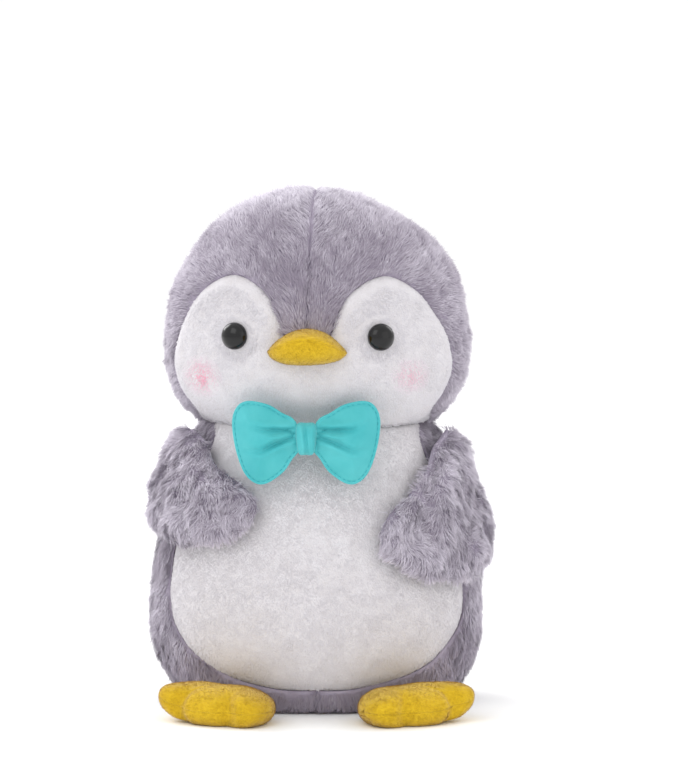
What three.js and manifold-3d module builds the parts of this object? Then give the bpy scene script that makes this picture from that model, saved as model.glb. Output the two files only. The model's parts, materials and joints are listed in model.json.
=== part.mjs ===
// A plush penguin that stands on its flat base: a sewn head on a sewn body, two padded wings,
// two padded feet, a padded beak, two safety eyes and a bow tie.
// Millimetres, +Z up. The front faces -Y, and the toy's own left is +X.
import * as THREE from 'three';
import { mergeVertices } from 'three/addons/utils/BufferGeometryUtils.js';
import Module from 'manifold-3d';

const wasm = await Module();
wasm.setup();

// ---- Driving dimensions ----

const seamGap = 0.3;          // left between pieces that touch
const plushThickness = 3;     // backing and pressed pile of the grey and white plush
const wingPlush = 2;          // the wings' plush
const feltThickness = 1.2;    // the beak's and the feet's cloth
const bowCloth = 0.8;

const neckHeight = 126.5;       // the seam between the body and the head, above the floor
const neckHalfWidth = 53;
const neckHalfDepth = 43;

const bodyHalfWidth = 74.5;
const bodyFrontDepth = 60;    // from the neck's axis to the belly
const bodyBackDepth = 57;
const bodyWidestHeight = 46;
const baseHalfWidth = 52;     // of the flat base
const bellyBottom = 9.5;       // of the white panel, above the floor
const lowerBodyFullness = 2.5; // 2 is a plain arc, and more is fuller
const upperBodyFullness = 1.6;

const headHalfWidth = 68.5;
const headFrontDepth = 56;
const headBackDepth = 58;
const headWidestHeight = 37;  // above the neck seam
const headDomeHeight = 66;    // from the widest level to the top
const cheekFullness = 3.2;
const headTurn = -4.5;          // degrees about the neck's axis, towards the toy's right

const eyeDiameter = 12;
const eyeDomeHeight = 4.4;
const eyeFlange = 1;
const eyeStandOff = 0.6;      // the flat back of an eye stands this far off the cloth
const eyeSpread = 32;         // each eye, from the middle of the face
const eyeHeight = 41;         // above the neck seam
const shankDiameter = 4;
const shankLength = 11;
const shankClearance = 0.5;
const washerDiameter = 14;
const washerThickness = 1.6;
const washerStandOff = 1.2;   // the flat washer lies this far behind the curved cloth

const beakHalfWidth = 17.5;
const beakReach = 13.5;       // how far it stands forward of the face
const beakUpperRise = 6;
const beakLowerRise = 8.5;
const beakHeight = 37.7;      // its seam, above the neck seam
const beakStandOff = 0.6;

const bowHeight = -2.5;       // its middle, above the neck seam
const bowStandOff = 2.4;      // from the chin and the belly to the bow
const bowOffset = -4.5;       // the knot, from the middle of the body
const knotWidth = 9.5;
const knotHeight = 14;
const knotDepth = 14;
const loopLength = 27;
const loopEndHeight = 37;     // at the loop's far end
const loopRootHeight = 13;    // at the knot
const loopDepth = 11;
const loopGap = 0.8;          // between a loop and the knot
const loopSweep = 13;         // degrees that each loop goes back round the neck
const loopDroop = 13;         // degrees that each loop hangs down
const bowRootRise = 2.5;      // from the bow's middle up to where the loops leave the knot

const wingStandOff = 0.8;     // from the body to a wing
const leftWingRise = 6.5;     // each wing's padding, outwards of its seam
const rightWingRise = 8;
const wingInnerRise = 3;

const footLength = 36;
const footHalfWidth = 26;
const footThickness = 16;
const footSeamHeight = 6.5;
const footRounding = 3;       // how much of a full dome the flat sole cuts off
const footSplay = 30;         // degrees outwards
const footAngle = 28;         // where the heel is, degrees round the body from the front
const footStandOff = 1.2;     // from the belly to the foot
const toeDepth = 2.6;         // how far the notches between the toes go in
const toeLift = 5;            // how far the outermost toe is curled up

// ---- Colours ----

const greyPlush = '#a59ca9';
const whitePlush = '#dedadd';
const wadding = '#efece6';
const yellowCloth = '#dfb42f';
const tealCloth = '#5fcdd2';
const blackPlastic = '#1d1b1d';
const clearPlastic = '#cfcfc8';

function cloth(colour) {
  return new THREE.MeshStandardMaterial({ color: colour, roughness: 0.95, metalness: 0 });
}

function plastic(colour, roughness) {
  return new THREE.MeshStandardMaterial({ color: colour, roughness, metalness: 0 });
}

// ---- Solids ----

const far = 400;              // longer than anything in the object

// A closed surface from one end point, through rings of points, to another end point.
function closedSurface(startPoint, rings, endPoint) {
  const count = rings[0].length;
  const points = [startPoint, ...rings.flat(), endPoint];
  const last = points.length - 1;
  const index = [];
  for (let i = 0; i < count; i++) {
    const next = (i + 1) % count;
    index.push(0, 1 + next, 1 + i);
    for (let ring = 0; ring + 1 < rings.length; ring++) {
      const here = 1 + ring * count;
      const beyond = here + count;
      index.push(here + i, here + next, beyond + next);
      index.push(here + i, beyond + next, beyond + i);
    }
    const lastRing = 1 + (rings.length - 1) * count;
    index.push(lastRing + i, lastRing + next, last);
  }
  const geometry = new THREE.BufferGeometry();
  geometry.setAttribute('position', new THREE.Float32BufferAttribute(points.flatMap(p => p.toArray()), 3));
  geometry.setIndex(index);
  return facingOut(geometry);
}

// Turns the triangles round if the surface faces in.
function facingOut(geometry) {
  const position = geometry.attributes.position;
  const index = geometry.index.array;
  const [a, b, c] = [new THREE.Vector3(), new THREE.Vector3(), new THREE.Vector3()];
  let volume = 0;
  for (let i = 0; i < index.length; i += 3) {
    a.fromBufferAttribute(position, index[i]);
    b.fromBufferAttribute(position, index[i + 1]);
    c.fromBufferAttribute(position, index[i + 2]);
    volume += a.dot(b.cross(c));
  }
  if (volume < 0) {
    for (let i = 0; i < index.length; i += 3) {
      [index[i], index[i + 1]] = [index[i + 1], index[i]];
    }
  }
  return geometry;
}

// A manifold solid from a closed geometry, moved by a matrix if one is given.
function solid(geometry, matrix) {
  const bare = geometry.clone();
  bare.deleteAttribute('normal');
  bare.deleteAttribute('uv');
  if (matrix) {
    bare.applyMatrix4(matrix);
  }
  const merged = mergeVertices(bare, 1e-4);
  const vertProperties = new Float32Array(merged.attributes.position.array);
  const triVerts = new Uint32Array(merged.index.array);
  return new wasm.Manifold(new wasm.Mesh({ numProp: 3, vertProperties, triVerts }));
}

function geometryOf(manifold) {
  const mesh = manifold.getMesh();
  const geometry = new THREE.BufferGeometry();
  geometry.setAttribute('position', new THREE.Float32BufferAttribute(mesh.vertProperties, 3));
  geometry.setIndex(Array.from(mesh.triVerts));
  return geometry;
}

function block(xMin, xMax, yMin, yMax, zMin, zMax) {
  const box = new THREE.BoxGeometry(xMax - xMin, yMax - yMin, zMax - zMin);
  box.translate((xMin + xMax) / 2, (yMin + yMax) / 2, (zMin + zMax) / 2);
  return solid(box);
}

// One side of the object's middle plane, from the given distance outwards.
function sideBlock(side, distance) {
  return side > 0 ? block(distance, far, -far, far, -far, far) : block(-far, -distance, -far, far, -far, far);
}

// An outline in X and Z, grown outwards by a distance, as a column through the front half.
function frontColumn(outline, growth) {
  const shape = new THREE.Shape(grown(outline, growth));
  const geometry = new THREE.ExtrudeGeometry(shape, { depth: far, bevelEnabled: false });
  geometry.rotateX(Math.PI / 2);   // the shape's Y becomes Z, and its depth runs to -Y
  return solid(geometry);
}

// Moves each point of an anticlockwise outline outwards.
function grown(outline, distance) {
  return outline.map((point, i) => {
    const before = outline[(i + outline.length - 1) % outline.length];
    const after = outline[(i + 1) % outline.length];
    const along = after.clone().sub(before).normalize();
    return new THREE.Vector2(point.x + along.y * distance, point.y - along.x * distance);
  });
}

// A smooth closed outline through a few points, given as pairs.
function smoothOutline(pairs, count) {
  const curve = new THREE.CatmullRomCurve3(pairs.map(([x, y]) => new THREE.Vector3(x, y, 0)), true);
  const points = curve.getSpacedPoints(count).slice(0, count).map(p => new THREE.Vector2(p.x, p.y));
  return THREE.ShapeUtils.area(points) < 0 ? points.reverse() : points;
}

// The pairs of an outline's +X half, from its bottom to its top, with their mirror images.
function withMirror(pairs) {
  const mirrored = pairs.filter(([x]) => x > 0).map(([x, y]) => [-x, y]).reverse();
  return [...pairs, ...mirrored];
}

// ---- The body and the head as smooth forms ----

const sectionPoints = 28;

// The height from a form's widest level to where an arc of the given fullness reaches a narrower width.
function arcHeight(distance, share, fullness) {
  return distance / (1 - share ** fullness) ** (1 / fullness);
}

function arcShare(distance, height, fullness) {
  return Math.max(0, 1 - (Math.abs(distance) / height) ** fullness) ** (1 / fullness);
}

const bodyUpperHeight = arcHeight(neckHeight - bodyWidestHeight, neckHalfWidth / bodyHalfWidth, upperBodyFullness);
const bodyLowerHeight = arcHeight(bodyWidestHeight, baseHalfWidth / bodyHalfWidth, lowerBodyFullness);
const headLowerHeight = arcHeight(headWidestHeight, neckHalfWidth / headHalfWidth, cheekFullness);
const headCentre = neckHeight + headWidestHeight;

// How wide the body is at a height, as a share of its widest.
function bodyShare(z) {
  const rise = z - bodyWidestHeight;
  if (rise > 0) {
    return arcShare(rise, bodyUpperHeight, upperBodyFullness);
  }
  return arcShare(rise, bodyLowerHeight, lowerBodyFullness);
}

function headShare(z) {
  const rise = z - headCentre;
  return rise > 0 ? arcShare(rise, headDomeHeight, 2) : arcShare(rise, headLowerHeight, cheekFullness);
}

// Front and back depths at a level. Both forms come to the neck's own depth at the neck seam.
function bodyDepth(z, front) {
  const widest = front ? bodyFrontDepth : bodyBackDepth;
  const neckShare = bodyShare(neckHeight);
  const towardsNeck = Math.max(0, (z - bodyWidestHeight) / (neckHeight - bodyWidestHeight));
  const blend = THREE.MathUtils.lerp(1, neckHalfDepth / (widest * neckShare), towardsNeck ** 2);
  return widest * bodyShare(z) * blend;
}

function headDepth(z, front) {
  const widest = front ? headFrontDepth : headBackDepth;
  const neckShare = headShare(neckHeight);
  const towardsNeck = Math.max(0, (headCentre - z) / headWidestHeight);
  const blend = THREE.MathUtils.lerp(1, neckHalfDepth / (widest * neckShare), towardsNeck ** 2);
  return widest * headShare(z) * blend;
}

// A point of the body's surface. The angle is 0 at the front and 90 at the toy's left.
function bodyPoint(degrees, z, offset) {
  const angle = THREE.MathUtils.degToRad(degrees);
  const front = Math.cos(angle) > 0;
  const width = bodyHalfWidth * bodyShare(z) + offset;
  const depth = bodyDepth(z, front) + offset;
  return new THREE.Vector3(width * Math.sin(angle), -depth * Math.cos(angle), z);
}

// How far forward the head's surface is at a place on the face.
function faceFront(x, z) {
  const share = x / (headHalfWidth * headShare(z));
  return -headDepth(z, true) * Math.sqrt(1 - share ** 2);
}

// A level section through a form, drawn in by an inset.
function levelRing(halfWidth, frontDepth, backDepth, z) {
  const ring = [];
  for (let i = 0; i < sectionPoints; i++) {
    const angle = (i / sectionPoints) * 2 * Math.PI;
    const depth = Math.cos(angle) > 0 ? frontDepth : backDepth;
    ring.push(new THREE.Vector3(halfWidth * Math.sin(angle), -depth * Math.cos(angle), z));
  }
  return ring;
}

const runOut = 10;            // how far the forms go on past the floor and the neck before they are cut

// The body drawn in by an inset, from below the floor to above the neck.
function bodyForm(inset) {
  const levels = 9;
  const rings = [];
  for (let i = 0; i <= levels; i++) {
    const z = (i / levels) * neckHeight;
    const width = bodyHalfWidth * bodyShare(z) - inset;
    rings.push(levelRing(width, bodyDepth(z, true) - inset, bodyDepth(z, false) - inset, z));
  }
  const lowest = rings[0].map(p => p.clone().setZ(-runOut));
  const highest = rings[levels].map(p => p.clone().setZ(neckHeight + runOut));
  return solid(closedSurface(new THREE.Vector3(0, 0, -runOut), [lowest, ...rings, highest],
    new THREE.Vector3(0, 0, neckHeight + runOut)));
}

// The head drawn in by an inset, from below the neck to its crown.
function headForm(inset) {
  const cheekLevels = 4;
  const domeLevels = 7;
  const rings = [];
  for (let i = 0; i < cheekLevels; i++) {
    const z = THREE.MathUtils.lerp(neckHeight, headCentre, i / cheekLevels);
    const width = headHalfWidth * headShare(z) - inset;
    rings.push(levelRing(width, headDepth(z, true) - inset, headDepth(z, false) - inset, z));
  }
  for (let i = 0; i < domeLevels; i++) {
    const turn = (i / domeLevels) * Math.PI / 2;
    const ring = levelRing(headHalfWidth - inset, headFrontDepth - inset, headBackDepth - inset, 0);
    const z = headCentre + (headDomeHeight - inset) * Math.sin(turn);
    rings.push(ring.map(p => new THREE.Vector3(p.x * Math.cos(turn), p.y * Math.cos(turn), z)));
  }
  const lowest = rings[0].map(p => p.clone().setZ(neckHeight - runOut));
  return solid(closedSurface(new THREE.Vector3(0, 0, neckHeight - runOut), [lowest, ...rings],
    new THREE.Vector3(0, 0, headCentre + headDomeHeight - inset)));
}

// Everything between two levels.
function levelBlock(bottom, top) {
  return block(-far, far, -far, far, bottom, top);
}

// ---- Padded forms: two domed panels sewn together round an outline, with stuffing between ----

const padRings = 4;
const padFullness = 2.3;

// The rings of one dome from near its crown out to its seam. The dome is cut flat at the limit.
function domeRings(outline, rise, level, limit) {
  const rings = [];
  for (let i = 1; i <= padRings; i++) {
    const share = Math.sin((i / padRings) * Math.PI / 2);
    const height = Math.min(limit, rise * (1 - share ** padFullness) ** (1 / padFullness));
    rings.push(outline.map(p => new THREE.Vector3(p.x * share, p.y * share, level + height)));
  }
  return rings;
}

function drawnIn(outline, distance) {
  return outline.map(p => p.clone().setLength(p.length() - distance));
}

// Puts each point of some rings, given along, across and off the pad, where the pad's place says.
function placed(rings, place) {
  return rings.map(ring => ring.map(p => place(p.x, p.y, p.z)));
}

// One panel of a pad: a bowl of even thickness. The side is 1 for the panel above the seam, or -1.
function padPanel(outline, rise, thickness, side, place, limit = far) {
  const level = seamGap / 2;
  const innerRise = rise - thickness;
  const innerLimit = limit - thickness;
  const outside = domeRings(outline, rise, level, limit);
  const inside = domeRings(drawnIn(outline, thickness), innerRise, level, innerLimit).reverse();
  const sided = (along, across, off) => place(along, across, side * off);
  return closedSurface(sided(0, 0, Math.min(rise, limit) + level), placed([...outside, ...inside], sided),
    sided(0, 0, Math.min(innerRise, innerLimit) + level));
}

// A whole pad in one piece, from its upper crown round its seam to its lower crown.
function wholePad(outline, upperRise, lowerRise, place, lowerLimit = far) {
  const upper = domeRings(outline, upperRise, 0, far);
  const lower = domeRings(outline, lowerRise, 0, lowerLimit).reverse().slice(1);
  const under = lower.map(ring => ring.map(p => new THREE.Vector3(p.x, p.y, -p.z)));
  return closedSurface(place(0, 0, upperRise), placed([...upper, ...under], place),
    place(0, 0, -Math.min(lowerRise, lowerLimit)));
}

// The stuffing that fills a pad between its two panels.
function padStuffing(outline, upperRise, lowerRise, thickness, place, lowerLimit = far) {
  const inset = thickness + seamGap;
  return wholePad(drawnIn(outline, inset), upperRise - inset, lowerRise - inset, place, lowerLimit - inset);
}

// ---- The assembly ----

const group = new THREE.Group();
const head = new THREE.Group();
head.rotation.z = THREE.MathUtils.degToRad(headTurn);
group.add(head);

function addPiece(parent, name, geometry, material) {
  const mesh = new THREE.Mesh(geometry, material);
  mesh.name = name;
  parent.add(mesh);
}

// ---- Body: two grey halves, the white belly, the base and the stuffing ----

// The belly panel's edge in X and Z, from its bottom to its top on the toy's left. It passes the neck seam.
const bellyRise = neckHeight - bellyBottom;
const bellyEdge = smoothOutline(withMirror([
  [0, 0], [28, 0.02], [50, 0.09], [64, 0.22], [67.5, 0.37], [64, 0.57], [55, 0.78], [48, 0.95], [46, 1.08],
  [0, 1.1],
]).map(([x, share]) => [x, bellyBottom + share * bellyRise]), 32);

const bodyTop = neckHeight - seamGap / 2;
const bodyCover = bodyForm(0).intersect(levelBlock(0, bodyTop)).subtract(bodyForm(plushThickness));
const baseColumn = solid(closedSurface(
  new THREE.Vector3(0, 0, -far),
  [-far, plushThickness].map(z => levelRing(baseHalfWidth - plushThickness - seamGap,
    bodyDepth(0, true) - plushThickness - seamGap, bodyDepth(0, false) - plushThickness - seamGap, z)),
  new THREE.Vector3(0, 0, plushThickness)));
const backAndSides = bodyCover.subtract(frontColumn(bellyEdge, seamGap / 2));

for (const [side, name] of [[1, 'left'], [-1, 'right']]) {
  const half = backAndSides.intersect(sideBlock(side, seamGap / 2));
  addPiece(group, `body_cover_${name}`, geometryOf(half), cloth(greyPlush));
}
const belly = bodyCover.intersect(frontColumn(bellyEdge, -seamGap / 2));
addPiece(group, 'belly_panel', geometryOf(belly), cloth(whitePlush));
const base = baseColumn.intersect(levelBlock(0, far));
addPiece(group, 'base_panel', geometryOf(base), cloth(greyPlush));
const stuffingInset = plushThickness + seamGap;
const bodyStuffing = bodyForm(stuffingInset).intersect(levelBlock(stuffingInset, bodyTop));
addPiece(group, 'body_stuffing', geometryOf(bodyStuffing), cloth(wadding));

// ---- Head: two grey halves, the white face and the stuffing ----

// The face panel's edge in X and height above the neck seam, from the chin to the forehead's grey wedge.
const faceEdge = smoothOutline(withMirror([
  [0, -8], [45, -6], [54.5, 5], [60.5, 14], [64, 27], [61.5, 42], [51, 59], [38, 67.5], [28, 66.5],
  [18, 59], [13, 49], [10, 40], [0, 35],
]).map(([x, height]) => [x, neckHeight + height]), 48);

const headBottom = neckHeight + seamGap / 2;
const headCover = headForm(0).intersect(levelBlock(headBottom, far)).subtract(headForm(plushThickness));
const crownAndBack = headCover.subtract(frontColumn(faceEdge, seamGap / 2));
for (const [side, name] of [[1, 'left'], [-1, 'right']]) {
  const half = crownAndBack.intersect(sideBlock(side, seamGap / 2));
  addPiece(head, `head_cover_${name}`, geometryOf(half), cloth(greyPlush));
}
let face = headCover.intersect(frontColumn(faceEdge, -seamGap / 2));
let headStuffing = headForm(stuffingInset).intersect(levelBlock(headBottom, far));

// ---- Safety eyes: a dome and shank in front of the cloth, and a locking washer behind it ----

const roundSteps = 14;

// A round piece about Z from a half profile of radius and height pairs.
function turned(pairs, steps = roundSteps) {
  const profile = pairs.map(([radius, height]) => new THREE.Vector2(radius, height));
  return new THREE.LatheGeometry(profile, steps);
}

// LatheGeometry turns about Y, so this stands the piece up along Z.
const uprightTurn = new THREE.Matrix4().makeRotationX(Math.PI / 2);

function eyeProfile() {
  const radius = eyeDiameter / 2;
  const pairs = [[0, -shankLength], [shankDiameter / 2, -shankLength], [shankDiameter / 2, 0], [radius, 0]];
  const steps = 4;
  for (let i = 0; i <= steps; i++) {
    const turn = (i / steps) * Math.PI / 2;
    pairs.push([radius * Math.cos(turn), eyeFlange + eyeDomeHeight * Math.sin(turn)]);
  }
  pairs[pairs.length - 1][0] = 0;
  return pairs;
}

const washerTop = -eyeStandOff - plushThickness - washerStandOff;

function washerProfile() {
  const hole = shankDiameter / 2 + shankClearance / 2;
  const bottom = washerTop - washerThickness;
  const rim = washerDiameter / 2;
  return [[hole, bottom], [rim, bottom], [rim, washerTop], [hole, washerTop], [hole, bottom]];
}

// A plain cylinder about Z between two heights.
function rod(radius, bottom, top) {
  return turned([[0, bottom], [radius, bottom], [radius, top], [0, top]]);
}

for (const [side, name] of [[1, 'left'], [-1, 'right']]) {
  const z = neckHeight + eyeHeight;
  const seat = new THREE.Vector3(side * eyeSpread, faceFront(eyeSpread, z), z);
  const outward = new THREE.Vector3(
    seat.x / headHalfWidth ** 2, seat.y / headFrontDepth ** 2, (z - headCentre) / headDomeHeight ** 2).normalize();
  const aim = new THREE.Quaternion().setFromUnitVectors(new THREE.Vector3(0, 0, 1), outward);
  const backOfEye = seat.clone().addScaledVector(outward, eyeStandOff);
  const matrix = new THREE.Matrix4().compose(backOfEye, aim, new THREE.Vector3(1, 1, 1)).multiply(uprightTurn);
  const shankHole = shankDiameter / 2 + shankClearance / 2;
  const pocketBottom = washerTop - washerThickness - seamGap;
  face = face.subtract(solid(rod(shankHole, -shankLength, eyeDomeHeight), matrix));
  headStuffing = headStuffing.subtract(solid(rod(shankHole, -shankLength - seamGap, eyeDomeHeight), matrix));
  headStuffing = headStuffing.subtract(
    solid(rod(washerDiameter / 2 + seamGap, pocketBottom, 0), matrix));
  addPiece(head, `${name}_eye`, geometryOf(solid(turned(eyeProfile()), matrix)), plastic(blackPlastic, 0.15));
  addPiece(head, `${name}_eye_washer`, geometryOf(solid(turned(washerProfile()), matrix)),
    plastic(clearPlastic, 0.5));
}
addPiece(head, 'face_panel', geometryOf(face), cloth(whitePlush));
addPiece(head, 'head_stuffing', geometryOf(headStuffing), cloth(wadding));

// ---- Beak: an upper and a lower panel with a seam ridge round the front, and stuffing ----

const beakSteps = 18;
const beakSeam = neckHeight + beakHeight;
const beakMiddle = faceFront(0, beakSeam) - beakReach / 2;

// The beak seen from above, about a point in its middle: a half round front and a back along the face.
function beakOutline() {
  const outline = [];
  for (let i = 0; i < beakSteps; i++) {
    const angle = (i / beakSteps) * 2 * Math.PI;
    const x = beakHalfWidth * Math.cos(angle);
    const back = faceFront(x, beakSeam) - beakStandOff;
    const front = faceFront(0, beakSeam) - beakReach;
    const y = THREE.MathUtils.lerp(back, front, Math.max(0, -Math.sin(angle)));
    outline.push(new THREE.Vector2(x, y - beakMiddle));
  }
  return outline;
}

const beakPlace = (x, y, off) => new THREE.Vector3(x, beakMiddle + y, beakSeam + off);
addPiece(head, 'beak_upper_panel',
  padPanel(beakOutline(), beakUpperRise, feltThickness, 1, beakPlace), cloth(yellowCloth));
addPiece(head, 'beak_lower_panel',
  padPanel(beakOutline(), beakLowerRise, feltThickness, -1, beakPlace), cloth(yellowCloth));
addPiece(head, 'beak_stuffing',
  padStuffing(beakOutline(), beakUpperRise, beakLowerRise, feltThickness, beakPlace), cloth(wadding));

// ---- Bow tie: a knot sewn on at the neck, and two padded loops ----

const bowMiddle = neckHeight + bowHeight;
const bowBehind = headDepth(bowMiddle + loopEndHeight / 2, true) + bowStandOff;
const bowForward = -(bowBehind + loopDepth / 2);
const sweep = THREE.MathUtils.degToRad(loopSweep);
const droop = THREE.MathUtils.degToRad(loopDroop);

// A loop's edge as half heights and distances from the knot, about the loop's own middle.
const loopMiddle = loopLength * 0.58;
const loopEdge = smoothOutline(withMirror([
  [0, 0], [loopRootHeight / 2, 0.04 * loopLength], [loopEndHeight * 0.29, 0.15 * loopLength],
  [loopEndHeight * 0.42, 0.34 * loopLength], [loopEndHeight / 2, 0.64 * loopLength],
  [loopEndHeight * 0.43, 0.83 * loopLength], [loopEndHeight * 0.24, 0.96 * loopLength], [0, loopLength],
]), 18).map(p => new THREE.Vector2(p.x, p.y - loopMiddle));

for (const [side, name] of [[1, 'left'], [-1, 'right']]) {
  const rootX = bowOffset + side * (knotWidth / 2 + loopGap);
  const loopPlace = (across, along, off) => {
    const out = (loopMiddle + along) * Math.cos(droop) + across * Math.sin(droop);
    const up = across * Math.cos(droop) - (loopMiddle + along) * Math.sin(droop);
    return new THREE.Vector3(
      rootX + side * (out * Math.cos(sweep) + off * Math.sin(sweep)),
      bowForward + out * Math.sin(sweep) - off * Math.cos(sweep),
      bowMiddle + bowRootRise + up);
  };
  const rise = loopDepth / 2;
  addPiece(group, `${name}_loop_front`, padPanel(loopEdge, rise, bowCloth, 1, loopPlace), cloth(tealCloth));
  addPiece(group, `${name}_loop_back`, padPanel(loopEdge, rise, bowCloth, -1, loopPlace), cloth(tealCloth));
  addPiece(group, `${name}_loop_wadding`, padStuffing(loopEdge, rise, rise, bowCloth, loopPlace),
    cloth(wadding));
}

const knotEdge = smoothOutline(withMirror([
  [0, -knotHeight / 2], [knotWidth * 0.42, -knotHeight * 0.46], [knotWidth / 2, 0],
  [knotWidth * 0.42, knotHeight * 0.46], [0, knotHeight / 2],
]), 14);
const knotPlace = (across, up, off) => new THREE.Vector3(bowOffset + across, bowForward - off, bowMiddle + up);
const knotBack = bowBehind - bowStandOff / 2;
addPiece(group, 'bow_knot', wholePad(knotEdge, knotDepth / 2, -bowForward - knotBack, knotPlace),
  cloth(tealCloth));

// ---- Wings: each lies round the side of the body, from the shoulder forwards onto the belly ----

// Each wing's edge as degrees round the body from the front, and the distance below the neck seam.
// The right one is held higher.
const leftWingEdge = [
  [78, 5], [60, 9], [49, 17], [40, 25], [32, 32], [24, 39], [20.5, 47], [23.5, 56], [33, 64],
  [45, 68], [61, 68], [78, 63], [92, 54], [99, 40], [99, 24], [91, 11],
];
const rightWingEdge = [
  [73, 2], [56, 6], [41.5, 17], [28, 24], [21, 31], [20.5, 38], [26, 46], [36, 50],
  [49, 52], [64, 50], [80, 45], [93, 36], [99, 25], [96, 14], [87, 6],
];
const millimetresPerDegree = (bodyHalfWidth + wingInnerRise) * Math.PI / 180;

function addWing(name, side, edge, outerRise) {
  const middle = edge.reduce((sum, pair) => [sum[0] + pair[0] / edge.length, sum[1] + pair[1] / edge.length],
    [0, 0]);
  const outline = smoothOutline(
    edge.map(([degrees, drop]) => [(degrees - middle[0]) * millimetresPerDegree, middle[1] - drop]), 24);
  const place = (round, up, off) => bodyPoint(side * (middle[0] + round / millimetresPerDegree),
    neckHeight - middle[1] + up, wingStandOff + wingInnerRise + off);
  addPiece(group, `${name}_wing_outer_panel`, padPanel(outline, outerRise, wingPlush, 1, place),
    cloth(greyPlush));
  addPiece(group, `${name}_wing_inner_panel`, padPanel(outline, wingInnerRise, wingPlush, -1, place),
    cloth(greyPlush));
  addPiece(group, `${name}_wing_stuffing`,
    padStuffing(outline, outerRise, wingInnerRise, wingPlush, place), cloth(wadding));
}

addWing('left', 1, leftWingEdge, leftWingRise);
addWing('right', -1, rightWingEdge, rightWingRise);

// ---- Feet: each is sewn to the front of the body at its heel, and has three soft toes ----

// A foot's edge from its heel to its toes, as half widths and distances from its middle.
const footEdge = smoothOutline(withMirror([
  [0, -footLength / 2], [footHalfWidth * 0.55, -footLength * 0.46], [footHalfWidth * 0.88, -footLength * 0.2],
  [footHalfWidth, footLength * 0.12], [footHalfWidth * 0.93, footLength * 0.36],
  [footHalfWidth * 0.7, footLength * 0.44], [footHalfWidth * 0.47, footLength * 0.47 - toeDepth],
  [footHalfWidth * 0.28, footLength * 0.48], [0, footLength / 2],
]), 26);
const footUpperRise = footThickness - footSeamHeight;
const footLowerRise = footSeamHeight + footRounding;

function addFoot(name, side) {
  const round = THREE.MathUtils.degToRad(side * footAngle);
  const splay = THREE.MathUtils.degToRad(side * footSplay);
  const level = bodyShare(footThickness);
  const heel = new THREE.Vector3(bodyHalfWidth * level * Math.sin(round),
    -bodyDepth(footThickness, true) * Math.cos(round), 0);
  const forward = new THREE.Vector3(Math.sin(splay), -Math.cos(splay), 0);
  const across = new THREE.Vector3(Math.cos(splay), Math.sin(splay), 0);
  const middle = heel.addScaledVector(forward, footStandOff + footLength / 2);
  const place = (x, y, off) => middle.clone().addScaledVector(across, x).addScaledVector(forward, y)
    .setZ(footSeamHeight + off + toeLift * Math.max(0, side * x / footHalfWidth) ** 2);
  const flat = footSeamHeight - seamGap / 2;
  addPiece(group, `${name}_foot_upper`, padPanel(footEdge, footUpperRise, feltThickness, 1, place),
    cloth(yellowCloth));
  addPiece(group, `${name}_foot_sole`, padPanel(footEdge, footLowerRise, feltThickness, -1, place, flat),
    cloth(yellowCloth));
  addPiece(group, `${name}_foot_stuffing`,
    padStuffing(footEdge, footUpperRise, footLowerRise, feltThickness, place, footSeamHeight), cloth(wadding));
}

addFoot('left', 1);
addFoot('right', -1);

// The origin is on the floor, in the middle of the object's length and width.
const extent = new THREE.Box3().setFromObject(group, true);
const middleOfAll = extent.getCenter(new THREE.Vector3());
group.position.set(-middleOfAll.x, -middleOfAll.y, -extent.min.z);
group.updateMatrixWorld(true);

export default group;
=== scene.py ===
"""The looks of a plush penguin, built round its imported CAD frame.

Sizes are millimetres about the neck's vertical axis, with Z up from the floor and the front at -Y,
until to_frame() puts them in the frame's metres.
"""
import json
import math

import bpy
import numpy as np
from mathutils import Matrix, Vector


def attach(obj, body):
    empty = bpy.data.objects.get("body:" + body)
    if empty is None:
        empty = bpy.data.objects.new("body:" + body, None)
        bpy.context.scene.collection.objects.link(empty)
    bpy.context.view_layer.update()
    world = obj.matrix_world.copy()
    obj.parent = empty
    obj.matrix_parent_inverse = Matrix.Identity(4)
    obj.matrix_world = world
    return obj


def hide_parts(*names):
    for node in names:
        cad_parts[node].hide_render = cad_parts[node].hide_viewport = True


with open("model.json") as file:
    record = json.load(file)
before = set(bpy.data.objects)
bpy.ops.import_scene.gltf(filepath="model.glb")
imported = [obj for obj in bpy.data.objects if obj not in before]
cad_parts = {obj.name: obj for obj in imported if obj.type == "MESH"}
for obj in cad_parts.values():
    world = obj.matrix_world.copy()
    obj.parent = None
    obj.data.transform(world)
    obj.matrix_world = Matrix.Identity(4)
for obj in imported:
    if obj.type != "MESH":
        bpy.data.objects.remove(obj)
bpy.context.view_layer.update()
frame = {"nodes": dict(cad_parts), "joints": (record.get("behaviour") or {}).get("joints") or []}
neck = next(joint for joint in frame["joints"] if joint["name"] == "neck_turn")["pos_m"]

# ---- Driving dimensions, the same as the CAD model's ----

AXIS = np.array([neck[0], neck[1], 0.0]) * 1000
NECK_HEIGHT = 126.5
NECK_HALF_WIDTH = 53
NECK_HALF_DEPTH = 43

BODY_HALF_WIDTH = 74.5
BODY_FRONT_DEPTH = 60
BODY_BACK_DEPTH = 57
BODY_WIDEST_HEIGHT = 46
BASE_HALF_WIDTH = 52
BELLY_BOTTOM = 9.5
LOWER_BODY_FULLNESS = 2.5
UPPER_BODY_FULLNESS = 1.6

HEAD_HALF_WIDTH = 68.5
HEAD_FRONT_DEPTH = 56
HEAD_BACK_DEPTH = 58
HEAD_CENTRE = NECK_HEIGHT + 37
HEAD_DOME_HEIGHT = 66
CHEEK_FULLNESS = 3.2
HEAD_TURN = math.radians(-4.5)

EYE_RADIUS = 6
EYE_DOME_HEIGHT = 4.4
EYE_FLANGE = 1
EYE_STAND_OFF = 0.6
EYE_SPREAD = 32
EYE_HEIGHT = NECK_HEIGHT + 41

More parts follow.
